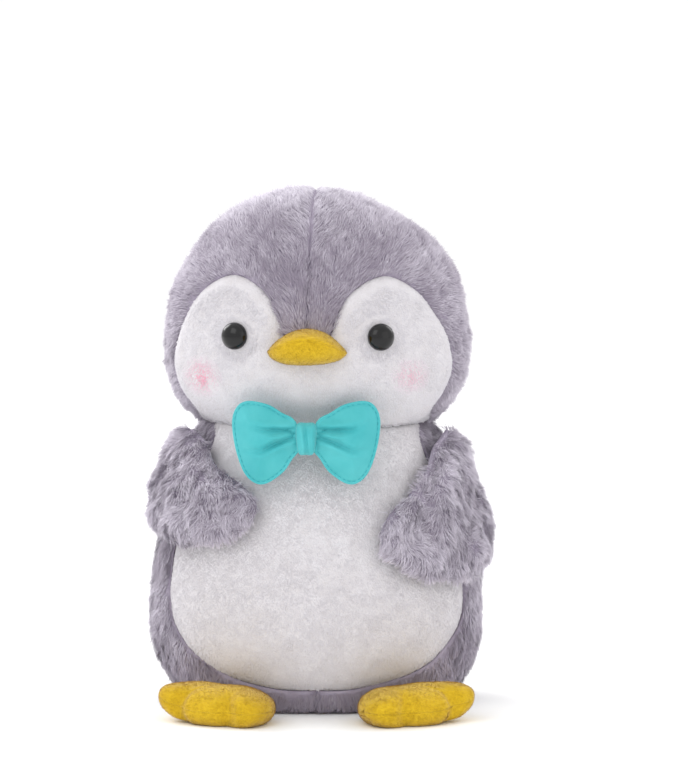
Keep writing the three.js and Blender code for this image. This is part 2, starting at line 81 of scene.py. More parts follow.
BEAK_HALF_WIDTH = 17.5
BEAK_REACH = 13.5
BEAK_HEIGHT = NECK_HEIGHT + 37.7
BEAK_UPPER_RISE = 6
BEAK_LOWER_RISE = 8.5

BOW_HEIGHT = NECK_HEIGHT - 2.5
BOW_STAND_OFF = 2.4
BOW_OFFSET = -4.5
KNOT_WIDTH = 9.5
KNOT_HEIGHT = 14
KNOT_DEPTH = 14
LOOP_LENGTH = 27
LOOP_END_HEIGHT = 37
LOOP_ROOT_HEIGHT = 13
LOOP_DEPTH = 11
LOOP_GAP = 0.8
LOOP_SWEEP = math.radians(13)
LOOP_DROOP = math.radians(13)
BOW_ROOT_RISE = 2.5

WING_STAND_OFF = 0.8
LEFT_WING_RISE = 6.5
RIGHT_WING_RISE = 8
WING_INNER_RISE = 3

FOOT_LENGTH = 36
FOOT_HALF_WIDTH = 26
FOOT_THICKNESS = 16
FOOT_SEAM_HEIGHT = 6.5
FOOT_SPLAY = math.radians(30)
FOOT_ANGLE = math.radians(28)
FOOT_STAND_OFF = 1.2
TOE_DEPTH = 2.6
TOE_LIFT = 5

# ---- Pile and cloth ----

SKIN_THICKNESS = 1.0
HEAD_INSET = 2.8          # from the CAD surface in to the grey plush's backing
BODY_INSET = 1.0
WHITE_INSET = 2.0
BASE_RISE = 2.4           # of the rounded edge round the base
FILL_INSET = 7.0
GREY_LENGTH = 4.2
GREY_WIDTH = 0.26
GREY_LEAN = math.radians(55)
GREY_DENSITY = 4.6        # strands in a square millimetre
WHITE_LENGTH = 1.7
WHITE_WIDTH = 0.42
WHITE_LEAN = math.radians(71)
WHITE_DENSITY = 5.0
CELL = 1.5                # the skins' grid spacing
LENGTH_SPREAD = (0.72, 1.15)
ROOT_DEPTH = 0.3          # of a strand's root in its backing
BEND = 0.55               # where a strand bends, as a share of its length
BEND_PULL = 0.4           # how much of a tuft's pull acts up to the bend
LOWEST = 0.1              # the lowest that a strand reaches
UNLIMITED = 999           # for a pad that no flat top or bottom cuts off


def turned(points):
    """Points or directions turned about the neck's axis, as the head is turned at rest."""
    c, s = math.cos(HEAD_TURN), math.sin(HEAD_TURN)
    return points @ np.array([[c, s, 0], [-s, c, 0], [0, 0, 1]])


def to_frame(points, of_head=False):
    points = np.asarray(points, float)
    return ((turned(points) if of_head else points) + AXIS) * 0.001


def unit(vectors):
    return vectors / np.maximum(np.linalg.norm(vectors, axis=-1, keepdims=True), 1e-9)


def lerp(a, b, share):
    return a + (b - a) * share


def ease(low, high, value):
    share = np.clip((value - low) / (high - low), 0, 1)
    return share * share * (3 - 2 * share)


# ---- The body's and the head's smooth forms ----

def arc_height(distance, share, fullness):
    """How high an arc is that narrows to a share of its width at a distance."""
    return distance / (1 - share ** fullness) ** (1 / fullness)


def arc_share(distance, height, fullness):
    return np.maximum(0, 1 - (np.abs(distance) / height) ** fullness) ** (1 / fullness)


BODY_UPPER = arc_height(NECK_HEIGHT - BODY_WIDEST_HEIGHT, NECK_HALF_WIDTH / BODY_HALF_WIDTH,
                        UPPER_BODY_FULLNESS)
BODY_LOWER = arc_height(BODY_WIDEST_HEIGHT, BASE_HALF_WIDTH / BODY_HALF_WIDTH, LOWER_BODY_FULLNESS)
HEAD_LOWER = arc_height(HEAD_CENTRE - NECK_HEIGHT, NECK_HALF_WIDTH / HEAD_HALF_WIDTH, CHEEK_FULLNESS)


def body_share(z):
    rise = z - BODY_WIDEST_HEIGHT
    return np.where(rise > 0, arc_share(rise, BODY_UPPER, UPPER_BODY_FULLNESS),
                    arc_share(rise, BODY_LOWER, LOWER_BODY_FULLNESS))


def head_share(z):
    rise = z - HEAD_CENTRE
    return np.where(rise > 0, arc_share(rise, HEAD_DOME_HEIGHT, 2),
                    arc_share(rise, HEAD_LOWER, CHEEK_FULLNESS))


def narrowed(widest, share, share_at_neck, towards_neck):
    """A depth that follows the width's share and comes to the neck's own depth."""
    narrowing = NECK_HALF_DEPTH / (widest * share_at_neck)
    return widest * share * lerp(1, narrowing, np.clip(towards_neck, 0, 1) ** 2)


def body_depth(z, front):
    return narrowed(np.where(front, BODY_FRONT_DEPTH, BODY_BACK_DEPTH), body_share(z),
                    body_share(NECK_HEIGHT), (z - BODY_WIDEST_HEIGHT) / (NECK_HEIGHT - BODY_WIDEST_HEIGHT))


def head_depth(z, front):
    return narrowed(np.where(front, HEAD_FRONT_DEPTH, HEAD_BACK_DEPTH), head_share(z),
                    head_share(NECK_HEIGHT), (HEAD_CENTRE - z) / (HEAD_CENTRE - NECK_HEIGHT))


class Trunk:
    """The body's or the head's form, by angles from the front towards the toy's left and by levels."""

    def __init__(self, half_width, share, depth):
        self.half_width = half_width
        self.share = share
        self.depth = depth

    def point(self, angle, z, offset=0.0):
        width = self.half_width * self.share(z) + offset
        depth = self.depth(z, np.cos(angle) > 0) + offset
        return np.stack(np.broadcast_arrays(width * np.sin(angle), -depth * np.cos(angle), z), -1)

    def normal(self, angle, z):
        step, rise = 1e-3, 0.02
        along = self.point(angle + step, z) - self.point(angle - step, z)
        up = self.point(angle, z + rise) - self.point(angle, z - rise)
        return unit(np.cross(along, up))

    def front(self, x, z):
        """How far forward the form is at a place on its front."""
        share = np.clip(x / (self.half_width * self.share(z)), -1, 1)
        return -self.depth(z, True) * np.sqrt(1 - share ** 2)

    def unrolled(self, outline):
        """An outline given in X and Z, as distances round the form at its widest, and levels."""
        x, z = outline.T
        width = self.half_width * np.maximum(self.share(z), 0.1)
        angle = np.arcsin(np.clip(x / width, -1, 1))
        return np.stack([angle * self.half_width, z], -1)


BODY = Trunk(BODY_HALF_WIDTH, body_share, body_depth)
HEAD = Trunk(HEAD_HALF_WIDTH, head_share, head_depth)


# ---- Outlines ----

def with_mirror(pairs):
    """An outline's right half, from one end to the other, with its mirror image."""
    return list(pairs) + [(-x, y) for x, y in reversed(pairs) if x > 0]


def travelled_round(outline):
    """A closed outline with its first point repeated, and how far along it each point is."""
    closed = np.vstack([outline, outline[:1]])
    return closed, np.concatenate([[0], np.cumsum(np.linalg.norm(np.diff(closed, axis=0), axis=1))])


def points_at(at, travelled, closed):
    return np.stack([np.interp(at, travelled, closed[:, k]) for k in (0, 1)], -1)


def smooth_outline(pairs, count):
    """Evenly spaced points on a smooth closed curve through a few points."""
    knots = np.array(pairs, float)
    steps = np.linspace(0, 1, 24, endpoint=False)[:, None]
    spans = []
    for i in range(len(knots)):
        before, start, end, after = (knots[(i + k) % len(knots)] for k in (-1, 0, 1, 2))
        spans.append(0.5 * (2 * start + (end - before) * steps
                            + (2 * before - 5 * start + 4 * end - after) * steps ** 2
                            + (3 * start - before - 3 * end + after) * steps ** 3))
    closed, travelled = travelled_round(np.concatenate(spans))
    return points_at(np.linspace(0, travelled[-1], count, endpoint=False), travelled, closed)


def line_distance(points, start, end):
    """How far points are from a line between two points, and how far along it they are."""
    start, end = np.array(start, float), np.array(end, float)
    span = end - start
    along = np.clip((points - start) @ span / (span @ span), 0, 1)
    return np.linalg.norm(points - start - along[..., None] * span, axis=-1), along


def outline_distance(points, outline):
    """How far points are from an outline, positive inside it, and the nearest points on it."""
    best = np.full(len(points), np.inf)
    nearest = np.zeros_like(points)
    inside = np.zeros(len(points), bool)
    for start, end in zip(outline, np.roll(outline, -1, axis=0)):
        span = end - start
        along = np.clip((points - start) @ span / (span @ span), 0, 1)
        foot = start + along[:, None] * span
        distance = np.linalg.norm(points - foot, axis=1)
        closer = distance < best
        best[closer] = distance[closer]
        nearest[closer] = foot[closer]
        if start[1] != end[1]:
            crossing = start[0] + (points[:, 1] - start[1]) / span[1] * span[0]
            inside ^= ((start[1] > points[:, 1]) != (end[1] > points[:, 1])) & (points[:, 0] < crossing)
    return np.where(inside, best, -best), nearest


FACE_EDGE = HEAD.unrolled(smooth_outline(with_mirror([
    (0, -8), (45, -6), (54.5, 5), (60.5, 14), (64, 27), (61.5, 42), (51, 59), (38, 67.5), (28, 66.5),
    (18, 59), (13, 49), (10, 40), (0, 35),
]), 150) + np.array([0, NECK_HEIGHT]))

BELLY_RISE = NECK_HEIGHT - BELLY_BOTTOM
BELLY_HALF = [(0, 0), (28, 0.02), (50, 0.09), (64, 0.22), (67.5, 0.37), (64, 0.57), (55, 0.78), (48, 0.95),
              (46, 1.08), (0, 1.1)]
BELLY_EDGE = BODY.unrolled(smooth_outline(with_mirror(
    [(x, BELLY_BOTTOM + share * BELLY_RISE) for x, share in BELLY_HALF]), 150))


# ---- Smooth random fields ----

class Waves:
    """A smooth random field with features of about one size, or several such fields."""

    def __init__(self, size, seed, channels=1, count=14):
        rng = np.random.default_rng(seed)
        directions = unit(rng.normal(size=(channels, count, 3)))
        self.turns = directions * 2 * math.pi / (size * rng.uniform(0.7, 1.6, (channels, count, 1)))
        self.phases = rng.uniform(0, 2 * math.pi, (channels, count))

    def __call__(self, points):
        scale = math.sqrt(2 / self.phases.shape[1])
        fields = [np.sin(points @ turns.T + phases).sum(1) * scale
                  for turns, phases in zip(self.turns, self.phases)]
        return fields[0] if len(fields) == 1 else np.stack(fields, -1)


# ---- Surfaces ----

NO_TRIANGLES = np.zeros((0, 3), int)


class Patch:
    """A surface of quads and triangles, in millimetres."""

    def __init__(self, points, quads, triangles=NO_TRIANGLES, normals=None, flat=None):
        """normals are kept where given, and found from the faces if not. flat holds unrolled places."""
        used, index = np.unique(np.concatenate([quads.ravel(), triangles.ravel()]), return_inverse=True)
        self.points = points[used]
        self.quads = index[:quads.size].reshape(-1, 4)
        self.triangles = index[quads.size:].reshape(-1, 3)
        self.keeps_normals = normals is not None
        if self.keeps_normals:
            self.normals = normals[used]
            self.flat = flat[used]
        else:
            self.find_normals()

    def all_triangles(self):
        return np.vstack([self.quads[:, [0, 1, 2]], self.quads[:, [0, 2, 3]], self.triangles])

    def find_normals(self):
        corners = self.all_triangles()
        a, b, c = (self.points[corners[:, k]] for k in range(3))
        across = np.cross(b - a, c - a)
        normals = np.zeros_like(self.points)
        for k in range(3):
            np.add.at(normals, corners[:, k], across)
        self.normals = unit(normals)

    def flip(self):
        self.quads = self.quads[:, ::-1]
        self.triangles = self.triangles[:, ::-1]
        self.find_normals()

    def push(self, distance):
        """Moves each point along its normal, but only sideways where it is on the neck seam."""
        way = self.normals.copy()
        if self.keeps_normals:
            way[:, 2] *= ease(0, 9, np.abs(self.flat[:, 1] - NECK_HEIGHT))
        self.points = self.points + way * np.broadcast_to(distance, len(self.points))[:, None]
        if not self.keeps_normals:
            self.find_normals()
        return self


def grid_quads(rows, columns, closed=False):
    index = np.arange(rows * columns).reshape(rows, columns)
    if closed:
        index = np.hstack([index, index[:, :1]])
    return np.stack([index[:-1, :-1], index[:-1, 1:], index[1:, 1:], index[1:, :-1]], -1).reshape(-1, 4)


def cut_trunk(trunk, angles, heights, outline, keep_inside, crown=None):
    """What an unrolled outline leaves of a trunk between some angles and levels, with a clean cut edge."""
    rows, columns = len(heights), len(angles)
    flat = np.stack(np.broadcast_arrays(angles[None] * trunk.half_width, heights[:, None]), -1)
    flat = flat.reshape(-1, 2)
    signed, nearest = outline_distance(flat, outline)
    if not keep_inside:
        signed = -signed
    snap = (np.abs(signed) < 0.75 * CELL) & (nearest[:, 1] > heights[0]) & (nearest[:, 1] < heights[-1])
    flat[snap] = nearest[snap]
    signed[snap] = 0
    quads = grid_quads(rows, columns)
    quads = quads[(signed[quads].min(1) >= 0) & (signed[quads].max(1) > 0)]
    points = trunk.point(flat[:, 0] / trunk.half_width, flat[:, 1])
    normals = trunk.normal(flat[:, 0] / trunk.half_width, flat[:, 1])
    triangles = NO_TRIANGLES
    if crown is not None:
        last = np.arange((rows - 1) * columns, rows * columns)
        triangles = np.stack([last[:-1], last[1:], np.full(columns - 1, len(points))], -1)
        points = np.vstack([points, crown])
        normals = np.vstack([normals, [0, 0, 1]])
        flat = np.vstack([flat, [0, crown[2]]])
    return Patch(points, quads, triangles, normals, flat)


def shell(patch, thickness):
    """A closed skin: a patch, its underside and the rim between them, as points, quads and triangles."""
    count = len(patch.points)
    points = np.vstack([patch.points, patch.points - patch.normals * thickness])
    edges = np.vstack([patch.quads[:, [k, (k + 1) % 4]] for k in range(4)]
                      + [patch.triangles[:, [k, (k + 1) % 3]] for k in range(3)])
    forward = edges[:, 0] * count + edges[:, 1]
    backward = edges[:, 1] * count + edges[:, 0]
    rim = edges[~np.isin(forward, backward)]
    sides = np.stack([rim[:, 1], rim[:, 0], rim[:, 0] + count, rim[:, 1] + count], -1)
    quads = np.vstack([patch.quads, patch.quads[:, ::-1] + count, sides])
    triangles = np.vstack([patch.triangles, patch.triangles[:, ::-1] + count])
    return points, quads, triangles


def seam(distance, depth=1.6, width=2.6):
    """How far cloth is pulled in at a distance from a seam."""
    return -depth * np.exp(-(distance / width) ** 2)


# ---- Pieces ----

def add_piece(name, points, quads, triangles, material, slot, body, uv=None, normals=None):
    """A mesh piece from points in the frame's metres. uv and normals are one for each point."""
    mesh = bpy.data.meshes.new(name)
    corners = np.concatenate([quads.ravel(), triangles.ravel()]).astype(np.int32)
    sizes = np.concatenate([np.full(len(quads), 4), np.full(len(triangles), 3)]).astype(np.int32)
    mesh.vertices.add(len(points))
    mesh.vertices.foreach_set("co", points.astype(np.float32).ravel())
    mesh.loops.add(len(corners))
    mesh.loops.foreach_set("vertex_index", corners)
    mesh.polygons.add(len(sizes))
    mesh.polygons.foreach_set("loop_start", np.concatenate([[0], np.cumsum(sizes)[:-1]]).astype(np.int32))
    mesh.polygons.foreach_set("use_smooth", np.ones(len(sizes), bool))
    if uv is not None:
        layer = mesh.uv_layers.new(name="OFBake")
        layer.data.foreach_set("uv", uv[corners].astype(np.float32).ravel())
    mesh.update(calc_edges=True)
    if normals is not None:
        mesh.normals_split_custom_set_from_vertices(normals.astype(np.float32).tolist())
    mesh.materials.append(material)
    piece = bpy.data.objects.new(name, mesh)
    bpy.context.scene.collection.objects.link(piece)
    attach(piece, body)
    return piece


# ---- Pile: each strand is one long kite of fibre, rooted in the backing and bent at its middle ----

def scatter(patch, density, rng):
    """Random places on a patch and the normals there."""
    corners = patch.all_triangles()
    a, b, c = (patch.points[corners[:, k]] for k in range(3))
    areas = np.linalg.norm(np.cross(b - a, c - a), axis=1) / 2
    picked = rng.choice(len(corners), int(areas.sum() * density), p=areas / areas.sum())
    u, v = rng.random((2, len(picked)))
    over = u + v > 1
    u[over], v[over] = 1 - u[over], 1 - v[over]
    weights = np.stack([1 - u - v, u, v], -1)[:, :, None]
    places = (patch.points[corners[picked]] * weights).sum(1)
    return places, unit((patch.normals[corners[picked]] * weights).sum(1))


tuft_pull = Waves(5.5, 21, channels=3)
tuft_lean = Waves(17, 22, channels=3)
tone_patches = Waves(26, 23)
tone_streaks = Waves(7, 24)


def strands(places, normals, flow, kind, rng):
    """Four corners for each strand: its root, its two sides at the bend, and its tip."""
    count = len(places)
    side = unit(np.cross(flow, normals))
    lean = kind["lean"] + rng.normal(0, kind["lean_stray"], count)[:, None]
    first = normals * np.cos(lean) + flow * np.sin(lean)
    second = normals * np.cos(lean + kind["curl"]) + flow * np.sin(lean + kind["curl"])
    length = kind["length"] * rng.uniform(*LENGTH_SPREAD, count)[:, None]
    pull = tuft_pull(places) * kind["tuft"]
    half = side * kind["width"] / 2
    roots = places - normals * ROOT_DEPTH
    middles = roots + first * length * BEND + pull * BEND_PULL
    tips = middles + second * length * (1 - BEND) + pull * (1 - BEND_PULL)
    points = np.stack([roots, middles + half, tips, middles - half], 1)
    points[..., 2] = np.maximum(points[..., 2], LOWEST)
    return points.reshape(-1, 3)


def strand_map(places, tone_of, rng):
    """The strands' tones across the map, and their lengths up it."""
    tone = 0.5 + 0.06 * tone_patches(places) + 0.05 * tone_streaks(places) + rng.normal(0, 0.1, len(places))
    if tone_of is not None:
        tone = tone_of(places, tone)
    across = np.clip(tone, 0.03, 0.97)[:, None] + np.array([0, 0.012, 0, -0.012])
    along = np.broadcast_to(np.array([0.04, 0.5, 0.96, 0.5]), across.shape)
    return np.stack([across, along], -1).reshape(-1, 2)


def add_pile(name, patches, flow_of, kind, body, of_head=False, tone_of=None, seed=1):
    """The pile of some patches as one piece. flow_of gives the way that it is combed at places."""
    rng = np.random.default_rng(seed)
    found = [scatter(patch, kind["density"], rng) for patch in patches]
    places, normals = (np.vstack(part) for part in zip(*found))
    flow = flow_of(places, normals)
    kept = np.isfinite(flow[:, 0])
    places, normals, flow = places[kept], normals[kept], flow[kept]
    size = places.shape
    flow = unit(flow) + kind["stray"] * rng.normal(size=size) + kind["drift"] * tuft_lean(places)
    flow = unit(flow - (flow * normals).sum(1)[:, None] * normals)
    points = strands(places, normals, flow, kind, rng)
    uv = strand_map(places, tone_of, rng)
    shading = np.repeat(unit(normals + kind["rough"] * rng.normal(size=size) - 0.25 * flow), 4, axis=0)
    return add_piece(name, to_frame(points, of_head), np.arange(len(points)).reshape(-1, 4), NO_TRIANGLES,
                     kind["material"], kind["slot"], body, uv, turned(shading) if of_head else shading)


# ---- Materials ----

def rgb(red, green, blue):
    """A colour given as a screen shows it, from 0 to 255, as light."""
    def light(value):
        value /= 255
        return value / 12.92 if value <= 0.04045 else ((value + 0.055) / 1.055) ** 2.4
    return light(red), light(green), light(blue), 1.0


class Finish:
    """A material with its Principled shader, and short ways to add nodes."""

    def __init__(self, name, roughness, **sockets):
        self.material = bpy.data.materials.new(name)
        self.material.use_nodes = True
        self.nodes = self.material.node_tree.nodes
        self.links = self.material.node_tree.links
        self.shader = self.nodes["Principled BSDF"]
        self.shader.inputs["Roughness"].default_value = roughness
        for socket, value in sockets.items():
            self.shader.inputs[socket.replace("_", " ")].default_value = value

    def add(self, kind, inputs=(), **settings):
        node = self.nodes.new(kind)
        for key, value in settings.items():
            setattr(node, key, value)
        for key, value in dict(inputs).items():
            if isinstance(value, bpy.types.NodeSocket):
                self.links.new(value, node.inputs[key])
            else:
                node.inputs[key].default_value = value
        return node

    def place(self):
        return self.add("ShaderNodeTexCoord").outputs["Object"]

    def noise(self, scale, detail=3, place=None):
        return self.add("ShaderNodeTexNoise", {
            "Vector": place or self.place(), "Scale": scale, "Detail": detail}).outputs["Fac"]

    def ramp(self, share, *stops):
        node = self.add("ShaderNodeValToRGB", {"Fac": share})
        elements = node.color_ramp.elements
        while len(elements) < len(stops):
            elements.new(0.5)
        for element, (position, colour) in zip(elements, stops):
            element.position = position
            element.color = colour
        return node.outputs["Color"]

    def mix(self, share, a, b, blend="MIX"):
        return self.add("ShaderNodeMix", {0: share, 6: a, 7: b}, data_type="RGBA",
                        blend_type=blend).outputs[2]

    def colour(self, value):
        self.links.new(value, self.shader.inputs["Base Color"])

    def bump(self, height, strength, distance):
        node = self.add("ShaderNodeBump", {"Height": height, "Strength": strength, "Distance": distance})
        self.links.new(node.outputs["Normal"], self.shader.inputs["Normal"])


def pile_material(name, shaded_root_dark, shaded_root_light, tip_dark, tip_light, blush=None):
    """Reads the strand's tone across the map and its length up the map. Tones over a half are blushed. The
    roots are painted darker, as shade deep in the pile.
    """
    finish = Finish(name, 0.85, Sheen_Weight=0.25, Sheen_Roughness=0.5, Specular_IOR_Level=0.2)
    uv = finish.add("ShaderNodeUVMap", uv_map="OFBake").outputs["UV"]
    split = finish.add("ShaderNodeSeparateXYZ", {"Vector": uv}).outputs
    if blush is None:
        roots = finish.ramp(split["X"], (0.15, shaded_root_dark), (0.85, shaded_root_light))
        tips = finish.ramp(split["X"], (0.15, tip_dark), (0.85, tip_light))
    else:
        roots = finish.ramp(split["X"], (0, shaded_root_dark), (0.48, shaded_root_light), (0.52, shaded_root_light), (1, blush))
        tips = finish.ramp(split["X"], (0, tip_dark), (0.48, tip_light), (0.52, tip_light), (1, blush))
    # painted shade: the colour runs from the darker roots up to the lighter tips
    share = finish.ramp(split["Y"], (0.0, (0, 0, 0, 1)), (0.8, (1, 1, 1, 1)))
    finish.colour(finish.mix(share, roots, tips))
    return finish.material


def backing_material(name, dark, light):
    """The knitted ground that a pile stands in."""
    finish = Finish(name, 0.95)
    place = finish.place()
    knit = finish.add("ShaderNodeTexVoronoi", {"Vector": place, "Scale": 1100}).outputs["Distance"]
    finish.colour(finish.ramp(finish.noise(160, 4, place), (0.3, dark), (0.7, light)))
    finish.bump(knit, 0.5, 0.0004)
    return finish.material


def fleece_material(name, dark, middle, light):
    finish = Finish(name, 0.9, Sheen_Weight=0.3, Sheen_Roughness=0.45, Specular_IOR_Level=0.25)
    place = finish.place()
    broad = finish.ramp(finish.noise(28, 3, place), (0.3, dark), (0.5, middle), (0.72, light))
    nap = finish.noise(900, 4, place)
    flecks = finish.ramp(nap, (0.35, dark), (0.6, light))
    finish.colour(finish.mix(0.3, broad, flecks))
    finish.bump(nap, 0.45, 0.0006)
    return finish.material


def weave_material(name, dark, light):
    """A fine plain weave, with threads along and across."""
    finish = Finish(name, 0.62, Sheen_Weight=0.2, Sheen_Roughness=0.35, Specular_IOR_Level=0.35)
    place = finish.place()
    threads = [finish.add("ShaderNodeTexWave", {"Vector": place, "Scale": 620, "Distortion": 0.6,
                                                "Detail": 1.0}, bands_direction=way).outputs["Fac"]
               for way in ("X", "Z")]
    weave = finish.add("ShaderNodeMath", {0: threads[0], 1: threads[1]}, operation="MULTIPLY").outputs[0]
    broad = finish.ramp(finish.noise(60, 3, place), (0.3, dark), (0.7, light))
    finish.colour(finish.mix(0.18, broad, finish.ramp(weave, (0.1, dark), (0.6, light))))
    finish.bump(weave, 0.35, 0.0003)
    return finish.material


def plastic_material(name, colour, fleck, roughness, coat=0.0):
    finish = Finish(name, roughness, Coat_Weight=coat, Coat_Roughness=0.04, Specular_IOR_Level=0.3)
    place = finish.place()
    finish.colour(finish.ramp(finish.noise(240, 2, place), (0.35, colour), (0.75, fleck)))
    finish.bump(finish.noise(500, 2, place), 0.04, 0.0003)
    return finish.material


def wadding_material(name):
    finish = Finish(name, 0.95, Sheen_Weight=0.2)
    place = finish.place()
    fibres = finish.noise(420, 6, place)
    finish.colour(finish.ramp(fibres, (0.3, rgb(214, 212, 210)), (0.7, rgb(244, 243, 241))))
    finish.bump(fibres, 0.8, 0.001)
    return finish.material


# Each pile's root colours are darker than its tip colours: painted shade deep in the pile.
GREY = {
    "material": pile_material("grey_pile", rgb(152, 143, 160), rgb(196, 187, 204),
                              rgb(160, 151, 166), rgb(240, 235, 245)),
    "slot": "grey_plush", "density": GREY_DENSITY, "length": GREY_LENGTH, "width": GREY_WIDTH,
    "lean": GREY_LEAN, "lean_stray": 0.14, "curl": 0.3, "stray": 0.16, "drift": 0.18, "tuft": 0.45,
    "rough": 0.15,
}
WHITE = {
    "material": pile_material("white_pile", rgb(201, 196, 199), rgb(216, 213, 218),
                              rgb(208, 203, 206), rgb(222, 220, 226), blush=rgb(236, 158, 182)),
    "slot": "white_plush", "density": WHITE_DENSITY, "length": WHITE_LENGTH, "width": WHITE_WIDTH,
    "lean": WHITE_LEAN, "lean_stray": 0.08, "curl": 0.12, "stray": 0.2, "drift": 0.06, "tuft": 0.06,
    "rough": 0.04,
}
WING = dict(GREY, length=4.8, stray=0.25, tuft=0.8, drift=0.4)
FLEECE = {
    "material": pile_material("yellow_nap", rgb(186, 146, 22), rgb(198, 158, 28),
                              rgb(190, 154, 24), rgb(206, 170, 38)),
    "slot": "yellow_fleece", "density": 8.0, "length": 0.95, "width": 0.2, "lean": math.radians(50),
    "lean_stray": 0.2, "curl": 0.2, "stray": 0.8, "drift": 0.3, "tuft": 0.05, "rough": 0.05,
}
# Each cloth is a material and the record's slot for it.
GREY_CLOTH = backing_material("grey_backing", rgb(140, 131, 148), rgb(164, 155, 172)), "grey_plush"
WHITE_CLOTH = backing_material("white_backing", rgb(204, 200, 203), rgb(214, 211, 215)), "white_plush"
YELLOW_CLOTH = (fleece_material("yellow_fleece", rgb(202, 163, 24), rgb(214, 177, 30), rgb(224, 189, 40)),
                "yellow_fleece")
TEAL_CLOTH = weave_material("teal_weave", rgb(58, 172, 178), rgb(88, 193, 198)), "teal_cloth"
TEAL_THREAD = weave_material("teal_thread", rgb(40, 158, 166), rgb(62, 182, 190)), "teal_cloth"
WADDING = wadding_material("fibre_fill"), "wadding"
EYE_PLASTIC = (plastic_material("black_eye_plastic", rgb(8, 8, 9), rgb(16, 15, 17), 0.2, coat=0.2),
               "eye_plastic")
WASHER_PLASTIC = plastic_material("washer_plastic", rgb(226, 228, 230), rgb(240, 241, 242), 0.4)


# ---- Skins with their pile ----

def add_skin(name, patch, cloth, body, replaces, of_head=False):
    points, quads, triangles = shell(patch, SKIN_THICKNESS)
    add_padded(name, points, quads, triangles, cloth, body, replaces, of_head)


def add_padded(name, points, quads, triangles, cloth, body, replaces, of_head):
    piece = add_piece(name, to_frame(points, of_head), quads, triangles, *cloth, body)
    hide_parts(replaces)


padding = Waves(46, 31)
dents = Waves(19, 32)


def soften(patch, amount=1.0):
    """Gives a stuffed surface its slight unevenness."""
    return patch.push(amount * (0.7 * padding(patch.points) + 0.28 * dents(patch.points)))


def half_angles(side, half_width):
    columns = int(math.pi * half_width / CELL)
    return np.linspace(0, math.pi, columns) if side > 0 else np.linspace(-math.pi, 0, columns)


def front_angles(half_width):
    return np.linspace(-math.pi / 2, math.pi / 2, int(math.pi * half_width / CELL))


def levels(low, high):
    return np.linspace(low, high, int((high - low) / CELL))


def head_levels():
    turns = np.linspace(0, math.pi / 2, int(HEAD_DOME_HEIGHT * math.pi / 2 / CELL))[:-1]
    dome = HEAD_CENTRE + HEAD_DOME_HEIGHT * np.sin(turns)
    return np.concatenate([levels(NECK_HEIGHT, HEAD_CENTRE)[:-1], dome])


def edge_seam(patch, outline):
    return seam(outline_distance(patch.flat, outline)[0])


def neck_seam(patch, depth, width=5.0):
    return seam(patch.flat[:, 1] - NECK_HEIGHT, depth, width)


SOURCE = np.array([0, -HEAD_FRONT_DEPTH, HEAD_CENTRE - 8])     # between the eyes
DOWN = np.array([0, 0, -1.0])


def head_flow(places, normals):
    """Up and out from between the eyes, parted at the crown, and down the sides and the back."""
    away = unit(places - SOURCE)
    low = 1 - ease(HEAD_CENTRE - 20, HEAD_CENTRE + 45, places[:, 2])
    behind = ease(-10, 40, places[:, 1])
    x = places[:, 0]
    parting = np.sign(x) * np.exp(-(x / 9) ** 2) * ease(HEAD_CENTRE + 28, HEAD_CENTRE + 50, places[:, 2])
    parted = np.stack([parting, 0 * x, 0 * x], -1)
    return away + DOWN * (0.75 * low + 0.9 * behind)[:, None] + parted


def body_flow(places, normals):
    """Down, and a little outwards."""
    return DOWN + places * np.array([0.004, 0, 0])


NECK_INSET = 3.4          # where the head's and the body's cloth meet
CROWN_RISE = 1.4          # how much fuller the head is at its crown
EYE_SEAT = 1.2            # how far the face's cloth comes out to meet an eye
EYES = [np.array([side * EYE_SPREAD, EYE_HEIGHT]) for side in (1, -1)]
# Each blush's middle and its strength.
BLUSHES = [(np.array([-47.5, NECK_HEIGHT + 22.5]), 0.42), (np.array([44.0, NECK_HEIGHT + 24]), 0.22)]
BLUSH_RADIUS = 6.0
WHITEST_TONE = 0.52       # the pile's map is white up to here, and more and more blushed from here


def face_flow(places, normals):
    """Combed down and out, with none behind the eyes or the beak."""
    flow = unit(DOWN * 0.8 + places * np.array([0.012, 0, 0]))
    for eye in EYES:
        gap = places[:, [0, 2]] - eye
        distance = np.linalg.norm(gap, axis=1)
        near = np.exp(-((distance - EYE_RADIUS) / 3) ** 2)[:, None]
        flow = flow + near * np.stack([gap[:, 0], 0 * distance, gap[:, 1]], -1) / EYE_RADIUS
        flow[distance < EYE_RADIUS * 0.8] = np.nan
    return flow


def face_tone(places, tone):
    tone = 0.36 + (tone - 0.5) * 0.15
    for centre, strength in BLUSHES:
        distance = np.linalg.norm(places[:, [0, 2]] - centre, axis=1)
        blush = np.exp(-(distance / BLUSH_RADIUS) ** 2) * strength
        tone = np.where(blush > 0.03, np.maximum(WHITEST_TONE + blush, tone), tone)
    return tone


def belly_tone(places, tone):
    return 0.2 + (tone - 0.5) * 0.12


def grey_half(side, trunk, heights, outline, inset, crown=None):
    """Half of the head's or the body's grey cover, with its seams."""
    patch = cut_trunk(trunk, half_angles(side, trunk.half_width), heights, outline, False, crown)
    soften(patch)
    middle = seam(patch.points[:, 0], 1.1, 2.0)
    if crown is not None:
        high = ease(HEAD_CENTRE + 34, HEAD_CENTRE + 62, patch.points[:, 2])
        middle = middle * (1 - high) + CROWN_RISE * high
    return patch.push(-inset + edge_seam(patch, outline) + middle + neck_seam(patch, NECK_INSET - inset))


def head_tone_and_crown_light(places, tone):
    """Lighter at the crown, which is painted light, and darker over the brow."""
    x, y, z = places.T
    brow = np.exp(-(x / 34) ** 2 - ((z - HEAD_CENTRE - 22) / 26) ** 2) * (y < 0)
    # painted light on the crown
    high = ease(HEAD_CENTRE + 46, HEAD_CENTRE + 66, z)
    return tone - 0.12 - 0.2 * brow + 0.3 * high


def body_tone_and_floor_shade(places, tone):
    """Painted shade, darker towards the floor."""
    return tone - 0.12 - 0.36 * (1 - ease(2, 46, places[:, 2]))


